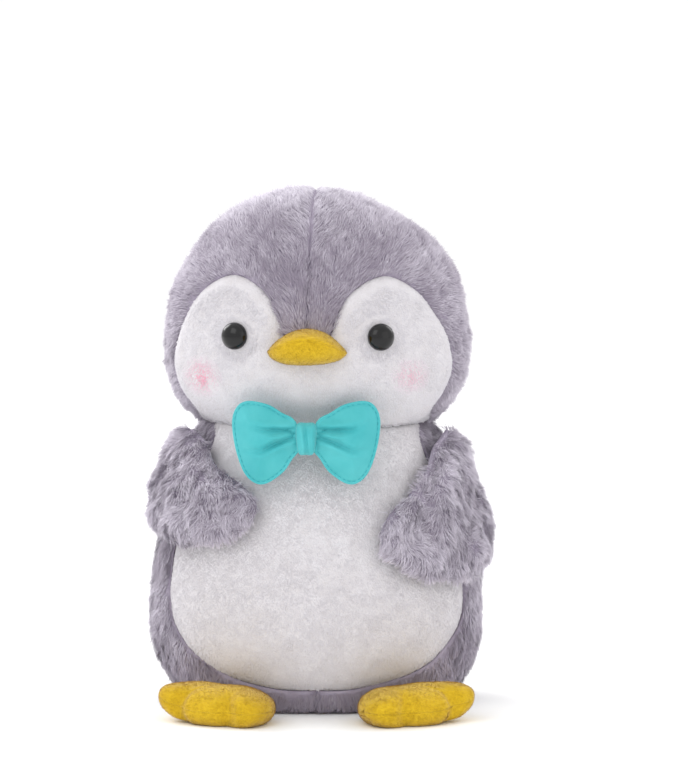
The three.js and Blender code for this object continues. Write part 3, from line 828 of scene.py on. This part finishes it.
for side, name in ((1, "left"), (-1, "right")):
    crown = np.array([0, 0, HEAD_CENTRE + HEAD_DOME_HEIGHT])
    patch = grey_half(side, HEAD, head_levels(), FACE_EDGE, HEAD_INSET, crown)
    add_skin(f"head_cloth_{name}", patch, GREY_CLOTH, "head", f"head_cover_{name}", True)
    add_pile(f"head_pile_{name}", [patch], head_flow, GREY, "head", True, head_tone_and_crown_light, 40 + side)
    patch = grey_half(side, BODY, levels(BASE_RISE, NECK_HEIGHT), BELLY_EDGE, BODY_INSET)
    add_skin(f"body_cloth_{name}", patch, GREY_CLOTH, "torso", f"body_cover_{name}")
    add_pile(f"body_pile_{name}", [patch], body_flow, GREY, "torso", False, body_tone_and_floor_shade, 50 + side)


def add_face():
    heights = levels(NECK_HEIGHT, NECK_HEIGHT + 70)
    face = cut_trunk(HEAD, front_angles(HEAD_HALF_WIDTH), heights, FACE_EDGE, True)
    soften(face, 0.6)
    eye_gaps = [np.linalg.norm(face.points[:, [0, 2]] - eye, axis=1) for eye in EYES]
    seats = sum(EYE_SEAT * (1 - ease(EYE_RADIUS, EYE_RADIUS + 5, gap)) for gap in eye_gaps)
    face.push(-WHITE_INSET + edge_seam(face, FACE_EDGE) + neck_seam(face, 0.5) + seats)
    add_skin("face_cloth", face, WHITE_CLOTH, "head", "face_panel", True)
    add_pile("face_pile", [face], face_flow, WHITE, "head", True, face_tone, 61)


def add_belly():
    heights = levels(BELLY_BOTTOM - 3, NECK_HEIGHT)
    belly = cut_trunk(BODY, front_angles(BODY_HALF_WIDTH), heights, BELLY_EDGE, True)
    soften(belly, 0.35)
    belly.push(-WHITE_INSET + edge_seam(belly, BELLY_EDGE) + neck_seam(belly, 0.5))
    add_skin("belly_cloth", belly, WHITE_CLOTH, "torso", "belly_panel")
    add_pile("belly_pile", [belly], body_flow, WHITE, "torso", False, belly_tone, 62)


add_face()
add_belly()


# ---- Pads: two panels sewn together round an edge, and stuffed ----

def rings_form(rings, first, last=None):
    """A surface through closed rings, with a point at its first end and perhaps at its last."""
    rows, columns = rings.shape[:2]
    points = np.vstack([rings.reshape(-1, 3), first[None]] + ([] if last is None else [last[None]]))
    start = np.arange(columns)
    after = np.roll(start, -1)
    fans = [np.stack([after, start, np.full(columns, rows * columns)], -1)]
    if last is not None:
        end = (rows - 1) * columns
        fans.append(np.stack([start + end, after + end, np.full(columns, rows * columns + 1)], -1))
    return Patch(points, grid_quads(rows, columns, closed=True), np.vstack(fans))


def facing(patch, direction):
    """The patch, turned inside out if it faces away from a direction."""
    if (patch.normals @ direction).mean() < 0:
        patch.flip()
    return patch


def facing_out(patch):
    """The closed patch, turned inside out if it faces inwards."""
    if (patch.normals * (patch.points - patch.points.mean(0))).sum() < 0:
        patch.flip()
    return patch


PAD_FULLNESS = 2.3


def pad_rings(outline, rise, count, limit=UNLIMITED, height_of=None):
    """Rings of a pad's flat places and heights, from near its crown out to its edge."""
    turns = np.linspace(0.06, math.pi / 2, count)
    share = np.sin(turns)[:, None]
    height = rise * np.maximum(0, 1 - share ** PAD_FULLNESS) ** (1 / PAD_FULLNESS)
    flat = outline[None] * share[:, :, None]
    height = np.broadcast_to(np.minimum(height, limit), flat.shape[:2])
    return flat, height if height_of is None else height_of(flat, height)


def at_middle(place, off):
    """The point over the middle of a pad at a height."""
    return place(np.zeros(1), np.zeros(1), np.full(1, float(off)))[0]


def pad_panel(outline, rise, place, side, count=26, limit=UNLIMITED, height_of=None):
    """One panel of a pad, on the side given by the sign."""
    flat, height = pad_rings(outline, rise, count, limit, height_of)
    rings = place(flat[..., 0], flat[..., 1], side * height)
    patch = rings_form(rings, at_middle(place, side * height[0, 0]))
    return facing(patch, side * (at_middle(place, 1) - at_middle(place, 0)))


def whole_pad(upper, lower, place):
    """A closed form from the rings of its two sides."""
    flat = np.concatenate([upper[0], lower[0][::-1][1:]])
    height = np.concatenate([upper[1], -lower[1][::-1][1:]])
    ends = [at_middle(place, height[row].mean()) for row in (0, -1)]
    return facing_out(rings_form(place(flat[..., 0], flat[..., 1], height), *ends))


def add_pad_fill(name, outline, rises, place, inset, body, replaces, of_head=False):
    """The stuffing inside a pad, drawn in from its edge. rises are its own heights on the two sides."""
    drawn = outline * (1 - inset / np.linalg.norm(outline, axis=1).min())
    upper, lower = (pad_rings(drawn, rise, 8) for rise in rises)
    add_fill(name, whole_pad(upper, lower, place), body, replaces, of_head)


lumps = Waves(16, 33)


def add_fill(name, patch, body, replaces, of_head=False):
    patch.push(0.35 * lumps(patch.points))
    add_padded(name, patch.points, patch.quads, patch.triangles, WADDING, body, replaces, of_head)


def add_trunk_fill(name, trunk, low, high, body, replaces, of_head=False):
    """The stuffing of the body or the head between two levels."""
    angles = np.linspace(-math.pi, math.pi, 72, endpoint=False)[None]
    heights = (low + high) / 2 - (high - low) / 2 * np.cos(np.linspace(0.02, math.pi - 0.02, 30))[:, None]
    rings = trunk.point(angles, heights) - trunk.normal(angles, heights) * FILL_INSET
    patch = facing_out(rings_form(rings, rings[0].mean(0), rings[-1].mean(0)))
    add_fill(name, patch, body, replaces, of_head)


add_trunk_fill("body_fill", BODY, 6, NECK_HEIGHT, "torso", "body_stuffing")
add_trunk_fill("head_fill", HEAD, NECK_HEIGHT, HEAD_CENTRE + HEAD_DOME_HEIGHT - 0.4, "head", "head_stuffing",
               of_head=True)


# ---- The base ----

def base_flow(places, normals):
    return np.array([0, 1.0, 0]) + 0 * places


def add_base():
    """The flat panel that the body stands on, with a rounded edge and a short pile."""
    angles = np.linspace(-math.pi, math.pi, 120, endpoint=False)
    rim = BODY.point(angles, np.full(len(angles), BASE_RISE), -BODY_INSET)
    shares = np.linspace(0.05, 0.97, 30)[:, None, None]
    rings = rim[None] * np.array([1, 1, 0]) * shares + np.array([0, 0, BASE_RISE + 1])
    rings[..., 2] -= (BASE_RISE - 0.6) * np.sqrt(np.maximum(0, 1 - shares[..., 0] ** 6))
    patch = facing(rings_form(rings, np.array([0, 0, 1.6])), np.array([0, 0, -1.0]))
    add_skin("base_cloth", patch, GREY_CLOTH, "torso", "base_panel")
    short = dict(GREY, density=1.2, length=1.8, lean=math.radians(75), tuft=0.2)
    add_pile("base_pile", [patch], base_flow, short, "torso", seed=71)


add_base()


# ---- Wings ----

LEFT_WING = [(78, 3), (60, 7.5), (49, 17), (40, 25), (32, 32), (24, 39), (20.5, 47), (23.5, 56), (33, 64),
             (45, 68), (61, 68), (78, 63), (92, 54), (99, 40), (99, 22), (91, 8)]
RIGHT_WING = [(73, 2), (56, 6), (41.5, 17), (28, 24), (21, 31), (20.5, 38), (26, 46), (36, 50), (49, 52),
              (64, 50), (80, 45), (93, 36), (99, 24), (96, 11.5), (87, 4)]
# The left wing's front has a seam, as degrees round the body and distances below the neck seam.
WING_SEAM = [(62, 9), (53, 20), (43, 31), (34, 43)]
SEAM_PARTING = 3.5        # how far from the seam its pile is combed apart
WING_CREASE = 1.5         # the seam's depth
WING_PLUSH = 2.0
SHOULDER = (14.0, 6.0, 4.0)     # behind the wing's middle, above the neck seam, and outwards
MM_PER_DEGREE = math.radians(BODY_HALF_WIDTH + WING_INNER_RISE)


def add_wing(name, side, edge, outer_rise):
    """edge is in degrees round the body from its front, and distances below the neck seam."""
    body = f"{name}_wing"
    seamed = name == "left"
    middle = np.mean(edge, axis=0)

    def flattened(pairs):
        return [((degrees - middle[0]) * MM_PER_DEGREE, middle[1] - drop) for degrees, drop in pairs]

    def place(along, up, off):
        angle = np.radians(side * (middle[0] + along / MM_PER_DEGREE))
        return BODY.point(angle, NECK_HEIGHT - middle[1] + up, WING_STAND_OFF + WING_INNER_RISE + off)

    steps = np.linspace(0, len(WING_SEAM) - 1, 40)
    seam_flat = points_at(steps, np.arange(len(WING_SEAM)), np.array(flattened(WING_SEAM)))
    seam_places = place(*seam_flat.T, np.full(len(steps), float(outer_rise)))
    along, above, off = SHOULDER
    shoulder = place(np.full(1, along), np.full(1, middle[1] + above), np.full(1, off))[0]

    def creased(flat, height):
        gaps = np.linalg.norm(flat[..., None, :] - seam_flat, axis=-1).min(-1)
        return height + seam(gaps, WING_CREASE, 1.8) * ease(0, 3, height)

    def flow(places, normals):
        """From the shoulder to the tip, and parted along the seam."""
        way = unit(places - shoulder) + 0.35 * DOWN
        if seamed:
            gaps = places[:, None] - seam_places
            distance = np.linalg.norm(gaps, axis=-1)
            closest = np.arange(len(places)), distance.argmin(1)
            part = np.exp(-(distance[closest] / SEAM_PARTING) ** 2)[:, None]
            way = way + 1.3 * part * unit(gaps[closest])
        return way

    outline = smooth_outline(flattened(edge), 110)
    drawn = outline * (1 - WING_PLUSH / np.linalg.norm(outline, axis=1).mean())
    outer = pad_panel(drawn, outer_rise - WING_PLUSH, place, 1, height_of=creased if seamed else None)
    inner = pad_panel(drawn, WING_INNER_RISE - WING_PLUSH, place, -1)
    for part, patch in (("outer", outer), ("inner", inner)):
        patch.push(0.5 * dents(patch.points))
        add_skin(f"{name}_wing_{part}_cloth", patch, GREY_CLOTH, body, f"{name}_wing_{part}_panel")
    fill_rise = outer_rise - WING_PLUSH - SKIN_THICKNESS - WING_CREASE
    add_pad_fill(f"{name}_wing_fill", drawn, (fill_rise, 0.3), place, WING_PLUSH + 5, body,
                 f"{name}_wing_stuffing")
    close = dict(WING, length=2.2, lean=math.radians(72), tuft=0.3)
    for part, patch, kind, seed in (("outer", outer, WING, 80), ("inner", inner, close, 84)):
        add_pile(f"{name}_wing_{part}_pile", [patch], flow, kind, body, seed=seed + side)


add_wing("left", 1, LEFT_WING, LEFT_WING_RISE)
add_wing("right", -1, RIGHT_WING, RIGHT_WING_RISE)


# ---- Feet ----

FOOT_FILL_INSET = 3.4     # from the cloth to the stuffing
FOOT_EDGE = smooth_outline(with_mirror([
    (0, -FOOT_LENGTH / 2), (FOOT_HALF_WIDTH * 0.55, -FOOT_LENGTH * 0.46),
    (FOOT_HALF_WIDTH * 0.88, -FOOT_LENGTH * 0.2), (FOOT_HALF_WIDTH, FOOT_LENGTH * 0.12),
    (FOOT_HALF_WIDTH * 0.93, FOOT_LENGTH * 0.36), (FOOT_HALF_WIDTH * 0.7, FOOT_LENGTH * 0.44),
    (FOOT_HALF_WIDTH * 0.47, FOOT_LENGTH * 0.47 - TOE_DEPTH), (FOOT_HALF_WIDTH * 0.28, FOOT_LENGTH * 0.48),
    (0, FOOT_LENGTH / 2),
]), 140)
TOE_CREASE = 1.7
TOE_CREASE_WIDTH = 2.6


def toes(flat, height):
    """Creases between the toes, deepest at the edge, and slight dents between them."""
    places = np.concatenate([flat, 0 * flat[..., :1]], -1).reshape(-1, 3)
    height = height + 0.3 * dents(places).reshape(height.shape) * ease(0, 4, height)
    for sign in (1, -1):
        notch = (sign * FOOT_HALF_WIDTH * 0.47, FOOT_LENGTH * 0.47)
        distance, along = line_distance(flat, (sign * FOOT_HALF_WIDTH * 0.36, -FOOT_LENGTH * 0.02), notch)
        height = height + seam(distance, TOE_CREASE, TOE_CREASE_WIDTH) * along * ease(0, 3, height)
    return height


def add_foot(name, side):
    body = f"{name}_foot"
    angle = side * FOOT_ANGLE
    splay = side * FOOT_SPLAY
    heel = np.array([BODY_HALF_WIDTH * body_share(FOOT_THICKNESS) * math.sin(angle),
                     -body_depth(FOOT_THICKNESS, True) * math.cos(angle), 0])
    forward = np.array([math.sin(splay), -math.cos(splay), 0])
    across = np.array([math.cos(splay), math.sin(splay), 0])
    middle = heel + forward * (FOOT_STAND_OFF + FOOT_LENGTH / 2) + np.array([0, 0, FOOT_SEAM_HEIGHT])

    def place(x, y, off):
        x, y, off = (np.asarray(v, float)[..., None] for v in (x, y, off))
        curl = TOE_LIFT * np.maximum(0, side * x / FOOT_HALF_WIDTH) ** 2
        return middle + across * x + forward * y + np.array([0, 0, 1.0]) * (off + curl)

    upper_rise = FOOT_THICKNESS - FOOT_SEAM_HEIGHT
    upper = pad_panel(FOOT_EDGE, upper_rise, place, 1, 34, height_of=toes)
    sole = pad_panel(FOOT_EDGE, FOOT_SEAM_HEIGHT + 3, place, -1, 24, limit=FOOT_SEAM_HEIGHT - 0.2)
    for patch, part in ((upper, "upper"), (sole, "sole")):
        add_skin(f"{name}_foot_{part}_cloth", patch, YELLOW_CLOTH, body, f"{name}_foot_{part}")
    add_pad_fill(f"{name}_foot_fill", FOOT_EDGE,
                 (upper_rise - FOOT_FILL_INSET, FOOT_SEAM_HEIGHT - FOOT_FILL_INSET),
                 place, FOOT_FILL_INSET, body, f"{name}_foot_stuffing")
    add_pile(f"{name}_foot_nap", [upper, sole], lambda places, normals: normals + forward, FLEECE, body,
             seed=90 + side)


add_foot("left", 1)
add_foot("right", -1)


# ---- Beak: an upper and a lower panel that meet in a seam arched like a smile turned over ----

BEAK_SEAM_RISE = 3.2      # from the middle of the beak's root up to the seam
BEAK_DROOP = 6.6          # how far the corners hang below the seam's middle
BEAK_SEAM = BEAK_HEIGHT + BEAK_SEAM_RISE


def beak_panel(side):
    """side 1 is the panel above the seam, and -1 the one below it."""
    across = np.linspace(-1, 1, 61)[None]
    down = np.linspace(0, 1, 22)[:, None]
    taper = np.maximum(0, 1 - np.abs(across) ** 2.2) ** 0.75
    rise = BEAK_UPPER_RISE - BEAK_SEAM_RISE + 1 if side > 0 else BEAK_LOWER_RISE + BEAK_SEAM_RISE
    x = BEAK_HALF_WIDTH * across + 0 * down
    seam_z = BEAK_SEAM - BEAK_DROOP * across ** 2
    edge_z = seam_z + side * rise * taper
    root = HEAD.front(x, seam_z + 0 * down) + WHITE_INSET + 1
    front = HEAD.front(0 * x, BEAK_SEAM) - (BEAK_REACH - 0.6) * taper + 3.4 * (1 - taper)
    turn = down * math.pi / 2
    y = lerp(root, front, np.sin(turn) ** 0.9)
    z = lerp(seam_z + 0 * down, edge_z + 0 * down, np.cos(turn))
    points = np.stack([x, y, z], -1)
    patch = Patch(points.reshape(-1, 3), grid_quads(22, 61))
    return facing(patch, np.array([0, -0.3, float(side)]))


def add_beak():
    for side, part in ((1, "upper"), (-1, "lower")):
        patch = beak_panel(side)
        patch.push(0.12 * dents(patch.points))
        add_skin(f"beak_{part}_cloth", patch, YELLOW_CLOTH, "head", f"beak_{part}_panel", True)
        add_pile(f"beak_{part}_nap", [patch], lambda places, normals: normals + DOWN, FLEECE, "head", True,
                 seed=95 + side)
    middle = HEAD.front(0, BEAK_HEIGHT) - BEAK_REACH * 0.42
    outline = smooth_outline([(math.cos(t) * BEAK_HALF_WIDTH * 0.5, math.sin(t) * BEAK_REACH * 0.34)
                              for t in np.linspace(0, 2 * math.pi, 12, endpoint=False)], 40)

    def place(x, y, off):
        return np.stack(np.broadcast_arrays(x, middle + y, BEAK_HEIGHT + off), -1)

    add_pad_fill("beak_fill", outline, (3.4, 4.4), place, 0.6, "head", "beak_stuffing", of_head=True)


# ---- Eyes ----

def add_lathe(name, profile, place, outward, plastic, replaces):
    """A round piece of the head from (radius, height) pairs about an axis."""
    angles = np.linspace(0, 2 * math.pi, 56, endpoint=False)
    x_way = unit(np.cross(outward, [0, 0, 1.0]))
    y_way = np.cross(outward, x_way)
    around = np.cos(angles)[:, None] * x_way + np.sin(angles)[:, None] * y_way
    rings = np.array([place + outward * height + around * radius for radius, height in profile])
    patch = facing_out(rings_form(rings, place + outward * profile[0][1], place + outward * profile[-1][1]))
    piece = add_piece(name, to_frame(patch.points, True), patch.quads, patch.triangles, *plastic, "head")
    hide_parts(replaces)


EYE_SINK = 1.2            # into the face's pile
EYE_RIM = 0.5             # the radius of its rounded rim
SHANK_RADIUS = 2
SHANK_LENGTH = 11
SHANK_BEVEL = 0.4


def eye_profile():
    """From the shank's end to the top of the dome, with a rounded rim."""
    shank = [(0.1, -SHANK_LENGTH), (SHANK_RADIUS - SHANK_BEVEL, -SHANK_LENGTH),
             (SHANK_RADIUS, SHANK_BEVEL - SHANK_LENGTH), (SHANK_RADIUS, 0), (SHANK_RADIUS + 1, 0)]
    rim = [(EYE_RADIUS - EYE_RIM + EYE_RIM * math.sin(t), EYE_RIM - EYE_RIM * math.cos(t))
           for t in np.linspace(0, math.pi / 2, 6)]
    dome = [(EYE_RADIUS * math.cos(t), EYE_FLANGE + EYE_DOME_HEIGHT * math.sin(t))
            for t in np.linspace(0, math.pi / 2 - 0.03, 22)]
    return shank + rim + dome


def add_eye(name, side):
    seat = np.array([side * EYE_SPREAD, float(HEAD.front(EYE_SPREAD, EYE_HEIGHT)), EYE_HEIGHT])
    outward = unit(np.array([seat[0] / HEAD_HALF_WIDTH ** 2, seat[1] / HEAD_FRONT_DEPTH ** 2,
                             (EYE_HEIGHT - HEAD_CENTRE) / HEAD_DOME_HEIGHT ** 2]))
    back = seat + outward * (EYE_STAND_OFF - EYE_SINK)
    add_lathe(f"{name}_eye_dome", eye_profile(), back, outward, EYE_PLASTIC, f"{name}_eye")


for side, name in ((1, "left"), (-1, "right")):
    add_eye(name, side)
    washer = frame["nodes"][f"{name}_eye_washer"]
    washer.data.materials.clear()
    washer.data.materials.append(WASHER_PLASTIC)
add_beak()


# ---- Bow tie ----

LOOP_TUCK = 2.2           # how far a loop's root goes into the knot
LOOP_REACH = LOOP_LENGTH + LOOP_GAP + LOOP_TUCK
LOOP_MIDDLE = LOOP_REACH * 0.58
BOW_FORWARD = -(head_depth(BOW_HEIGHT + LOOP_END_HEIGHT / 2, True) + BOW_STAND_OFF + LOOP_DEPTH / 2)
LOOP_EDGE = smooth_outline(with_mirror([
    (0, 0), (LOOP_ROOT_HEIGHT / 2, 0.05 * LOOP_REACH), (LOOP_END_HEIGHT * 0.28, 0.2 * LOOP_REACH),
    (LOOP_END_HEIGHT * 0.41, 0.38 * LOOP_REACH), (LOOP_END_HEIGHT / 2, 0.66 * LOOP_REACH),
    (LOOP_END_HEIGHT * 0.46, 0.84 * LOOP_REACH), (LOOP_END_HEIGHT * 0.3, 0.96 * LOOP_REACH), (0, LOOP_REACH),
]), 150) - np.array([0, LOOP_MIDDLE])
RIM_SHARE = 0.13          # of the loop's thickness, at its flat sewn edge
STITCH_INSET = 1.2
STITCH_LENGTH = 1.5
STITCH_STEP = 2.4
STITCH_RADIUS = 0.22
STITCH_POINTS = 7
# Each pleat runs from the knot out into the loop, as pairs of a height and a distance from the knot.
PLEATS = [((1.6, 2), (3.2, 9), (5.2, 16), (8.8, 22)), ((-0.8, 2), (-1.9, 10), (-3.9, 18), (-2.6, 26))]
PLEAT_DEPTH = 2.6
PLEAT_WIDTH = 1.15
FOLD_GAP = 2.6            # from a pleat to the folds beside it
FOLD_WIDTH = 1.5
FOLD_SHARE = 0.35         # of the pleat's depth, that a fold stands up


def add_threads(name, paths, radius, thread, body):
    """Short threads with rounded ends, each along a path of a few points."""
    angles = np.linspace(0, 2 * math.pi, 8, endpoint=False)
    points, quads, triangles = [], [], []
    count = 0
    for path in paths:
        way = unit(np.gradient(path, axis=0))
        first = unit(np.cross(way, [0.3, 0.2, 1.0]))
        second = np.cross(way, first)
        swell = np.sin(np.linspace(0.35, math.pi - 0.35, len(path))) ** 0.5 * radius
        around = (np.cos(angles)[None, :, None] * first[:, None]
                  + np.sin(angles)[None, :, None] * second[:, None])
        rings = path[:, None] + around * swell[:, None, None]
        cap = radius * 0.4
        form = facing_out(rings_form(rings, path[0] - way[0] * cap, path[-1] + way[-1] * cap))
        points.append(form.points)
        quads.append(form.quads + count)
        triangles.append(form.triangles + count)
        count += len(form.points)
    return add_piece(name, to_frame(np.vstack(points)), np.vstack(quads), np.vstack(triangles), *thread,
                     body)


def puffed(flat, height):
    """A loop's flat sewn rim, its puffed middle and the pleats that the knot gathers."""
    edge = outline_distance(flat.reshape(-1, 2), LOOP_EDGE)[0].reshape(height.shape)
    middle = ease(STITCH_INSET * 0.9, 12, edge) ** 0.62
    full = LOOP_DEPTH / 2 * (RIM_SHARE + (1 - RIM_SHARE) * middle) * ease(-0.4, 0.7, edge)
    reach = flat[..., 1] + LOOP_MIDDLE
    for pleat in PLEATS:
        distance = np.min([line_distance(np.stack([flat[..., 0], reach], -1), start, end)[0]
                           for start, end in zip(pleat[:-1], pleat[1:])], axis=0)
        depth = PLEAT_DEPTH * (1 - ease(9, pleat[-1][1] + 2, reach)) * ease(0, 2, full)
        fold = FOLD_SHARE * np.exp(-((distance - FOLD_GAP) / FOLD_WIDTH) ** 2)
        full = full + (seam(distance, 1, PLEAT_WIDTH) + fold) * depth
    stitched = seam(edge - STITCH_INSET, 0.35, 0.55)
    return np.maximum(full + stitched * ease(2, 5, reach), 0)


def drawn_in(outline, distance):
    """An outline moved inwards along its own normals."""
    way = np.roll(outline, -1, axis=0) - np.roll(outline, 1, axis=0)
    normals = unit(way)[:, ::-1] * np.array([-1, 1])
    moved = outline + normals * distance
    inside = outline_distance(moved, outline)[0] > 0
    return moved if inside.mean() > 0.5 else outline - normals * distance


def stitch_paths(place):
    """The stitches round a loop's front, apart from those that the knot hides."""
    closed, travelled = travelled_round(drawn_in(LOOP_EDGE, STITCH_INSET))
    bulge = 0.12 * np.sin(np.linspace(0, math.pi, STITCH_POINTS)) + 0.05
    paths = []
    for start in np.arange(0, travelled[-1] - STITCH_STEP, STITCH_STEP):
        at = np.linspace(start, start + STITCH_LENGTH, STITCH_POINTS)
        flat = points_at(at, travelled, closed)
        if flat[:, 1].min() + LOOP_MIDDLE >= 3.5:
            height = puffed(flat[None], np.zeros((1, STITCH_POINTS)))[0]
            paths.append(place(flat[:, 0], flat[:, 1], height + bulge))
    return paths


def add_loop(name, side):
    root = BOW_OFFSET + side * (KNOT_WIDTH / 2 - LOOP_TUCK)

    def place(across, along, off):
        out = (LOOP_MIDDLE + along) * math.cos(LOOP_DROOP) + across * math.sin(LOOP_DROOP)
        up = across * math.cos(LOOP_DROOP) - (LOOP_MIDDLE + along) * math.sin(LOOP_DROOP)
        x = root + side * (out * math.cos(LOOP_SWEEP) + off * math.sin(LOOP_SWEEP))
        y = BOW_FORWARD + out * math.sin(LOOP_SWEEP) - off * math.cos(LOOP_SWEEP)
        return np.stack([x, y, BOW_HEIGHT + BOW_ROOT_RISE + up], -1)

    body = f"{name}_bow_loop"
    for sign, part in ((1, "front"), (-1, "back")):
        patch = pad_panel(LOOP_EDGE, LOOP_DEPTH / 2, place, sign, 46, height_of=puffed)
        add_skin(f"{name}_loop_{part}_cloth", patch, TEAL_CLOTH, body, f"{name}_loop_{part}")
    add_pad_fill(f"{name}_loop_fill", LOOP_EDGE, (1, 1), place, 4.6, body, f"{name}_loop_wadding")
    add_threads(f"{name}_loop_stitches", stitch_paths(place), STITCH_RADIUS, TEAL_THREAD, body)


def add_knot():
    edge = smooth_outline(with_mirror([
        (0, -KNOT_HEIGHT / 2), (KNOT_WIDTH * 0.34, -KNOT_HEIGHT * 0.46), (KNOT_WIDTH * 0.47, 0),
        (KNOT_WIDTH * 0.42, KNOT_HEIGHT * 0.46), (0, KNOT_HEIGHT / 2),
    ]), 90)

    def place(across, up, off):
        return np.stack([BOW_OFFSET + across, BOW_FORWARD - off, BOW_HEIGHT + up], -1)

    def gathered(flat, height):
        groove = seam(flat[..., 0] + 0.4 * np.sin(flat[..., 1] / 3), 1.3, 0.9)
        fine = 0.22 * np.sin(flat[..., 0] * 2.6 + 0.25 * flat[..., 1])
        return height + (groove + fine) * ease(0.5, 3.5, height)

    front = pad_rings(edge, KNOT_DEPTH / 2, 34, height_of=gathered)
    back = pad_rings(edge, KNOT_DEPTH / 2 + 1, 10)
    patch = whole_pad(front, back, place)
    add_padded("bow_knot_cloth", patch.points, patch.quads, patch.triangles, TEAL_CLOTH, "torso", "bow_knot",
               False)


add_loop("left", 1)
add_loop("right", -1)
add_knot()


# ---- The floor, the lights and the camera ----

PHOTO_SCALE = 2.25        # picture pixels for a millimetre at the neck's axis
PICTURE_LONG_SIDE = 768
DISTANCE = 3000
ELEVATION = math.radians(6)
AIM = np.array([12, 0, 141.5])
SENSOR = 36
LIT_PLACE = Vector((0, 0, 0.11))    # the object's middle, in metres
FLOOR_REACH = 12                    # in metres
WORLD_STRENGTH = 1.06
# Each light's place and size in metres, its power in watts and its colour.
LIGHTS = {
    "key": ((-0.7, -1.0, 1.1), 0.9, 3.6, (1, 1, 1)),
    "fill": ((1.0, -0.9, 0.5), 1.0, 1.2, (1, 0.97, 0.95)),
    "rim_left": ((-0.8, 0.7, 0.8), 0.7, 8, (1, 1, 1)),
    "rim_right": ((0.8, 0.7, 0.8), 0.7, 4, (1, 1, 1)),
}


def add_camera():
    data = bpy.data.cameras.new("camera")
    data.sensor_width = SENSOR
    data.lens = SENSOR * PHOTO_SCALE * DISTANCE / PICTURE_LONG_SIDE
    camera = bpy.data.objects.new("camera", data)
    bpy.context.scene.collection.objects.link(camera)
    back = np.array([0, -math.cos(ELEVATION), math.sin(ELEVATION)])
    camera.location = to_frame(AIM + back * DISTANCE)
    camera.rotation_euler = Vector(-back).to_track_quat("-Z", "Y").to_euler()
    bpy.context.scene.camera = camera


def add_light(name, place, size, power, colour):
    """An area light that faces the object's middle."""
    data = bpy.data.lights.new(name, "AREA")
    data.size = size
    data.energy = power
    data.color = colour
    light = bpy.data.objects.new(name, data)
    bpy.context.scene.collection.objects.link(light)
    light.location = place
    light.rotation_euler = (LIT_PLACE - Vector(place)).to_track_quat("-Z", "Y").to_euler()


def add_floor():
    mesh = bpy.data.meshes.new("floor")
    corners = [(x * FLOOR_REACH, y * FLOOR_REACH, 0) for x, y in ((-1, -1), (1, -1), (1, 1), (-1, 1))]
    mesh.from_pydata(corners, [], [(0, 1, 2, 3)])
    finish = Finish("floor_paper", 0.8)
    finish.colour(finish.ramp(finish.noise(3), (0.3, (0.95, 0.95, 0.95, 1)), (0.7, (0.97, 0.97, 0.97, 1))))
    mesh.materials.append(finish.material)
    floor = bpy.data.objects.new("floor", mesh)
    bpy.context.scene.collection.objects.link(floor)


def add_world():
    world = bpy.data.worlds.new("studio")
    world.use_nodes = True
    background = world.node_tree.nodes["Background"]
    background.inputs["Color"].default_value = (1, 1, 1, 1)
    background.inputs["Strength"].default_value = WORLD_STRENGTH
    bpy.context.scene.world = world


add_camera()
add_floor()
add_world()
for name, (place, size, power, colour) in LIGHTS.items():
    add_light(name, place, size, power, colour)
bpy.context.scene.view_settings.view_transform = "Standard"
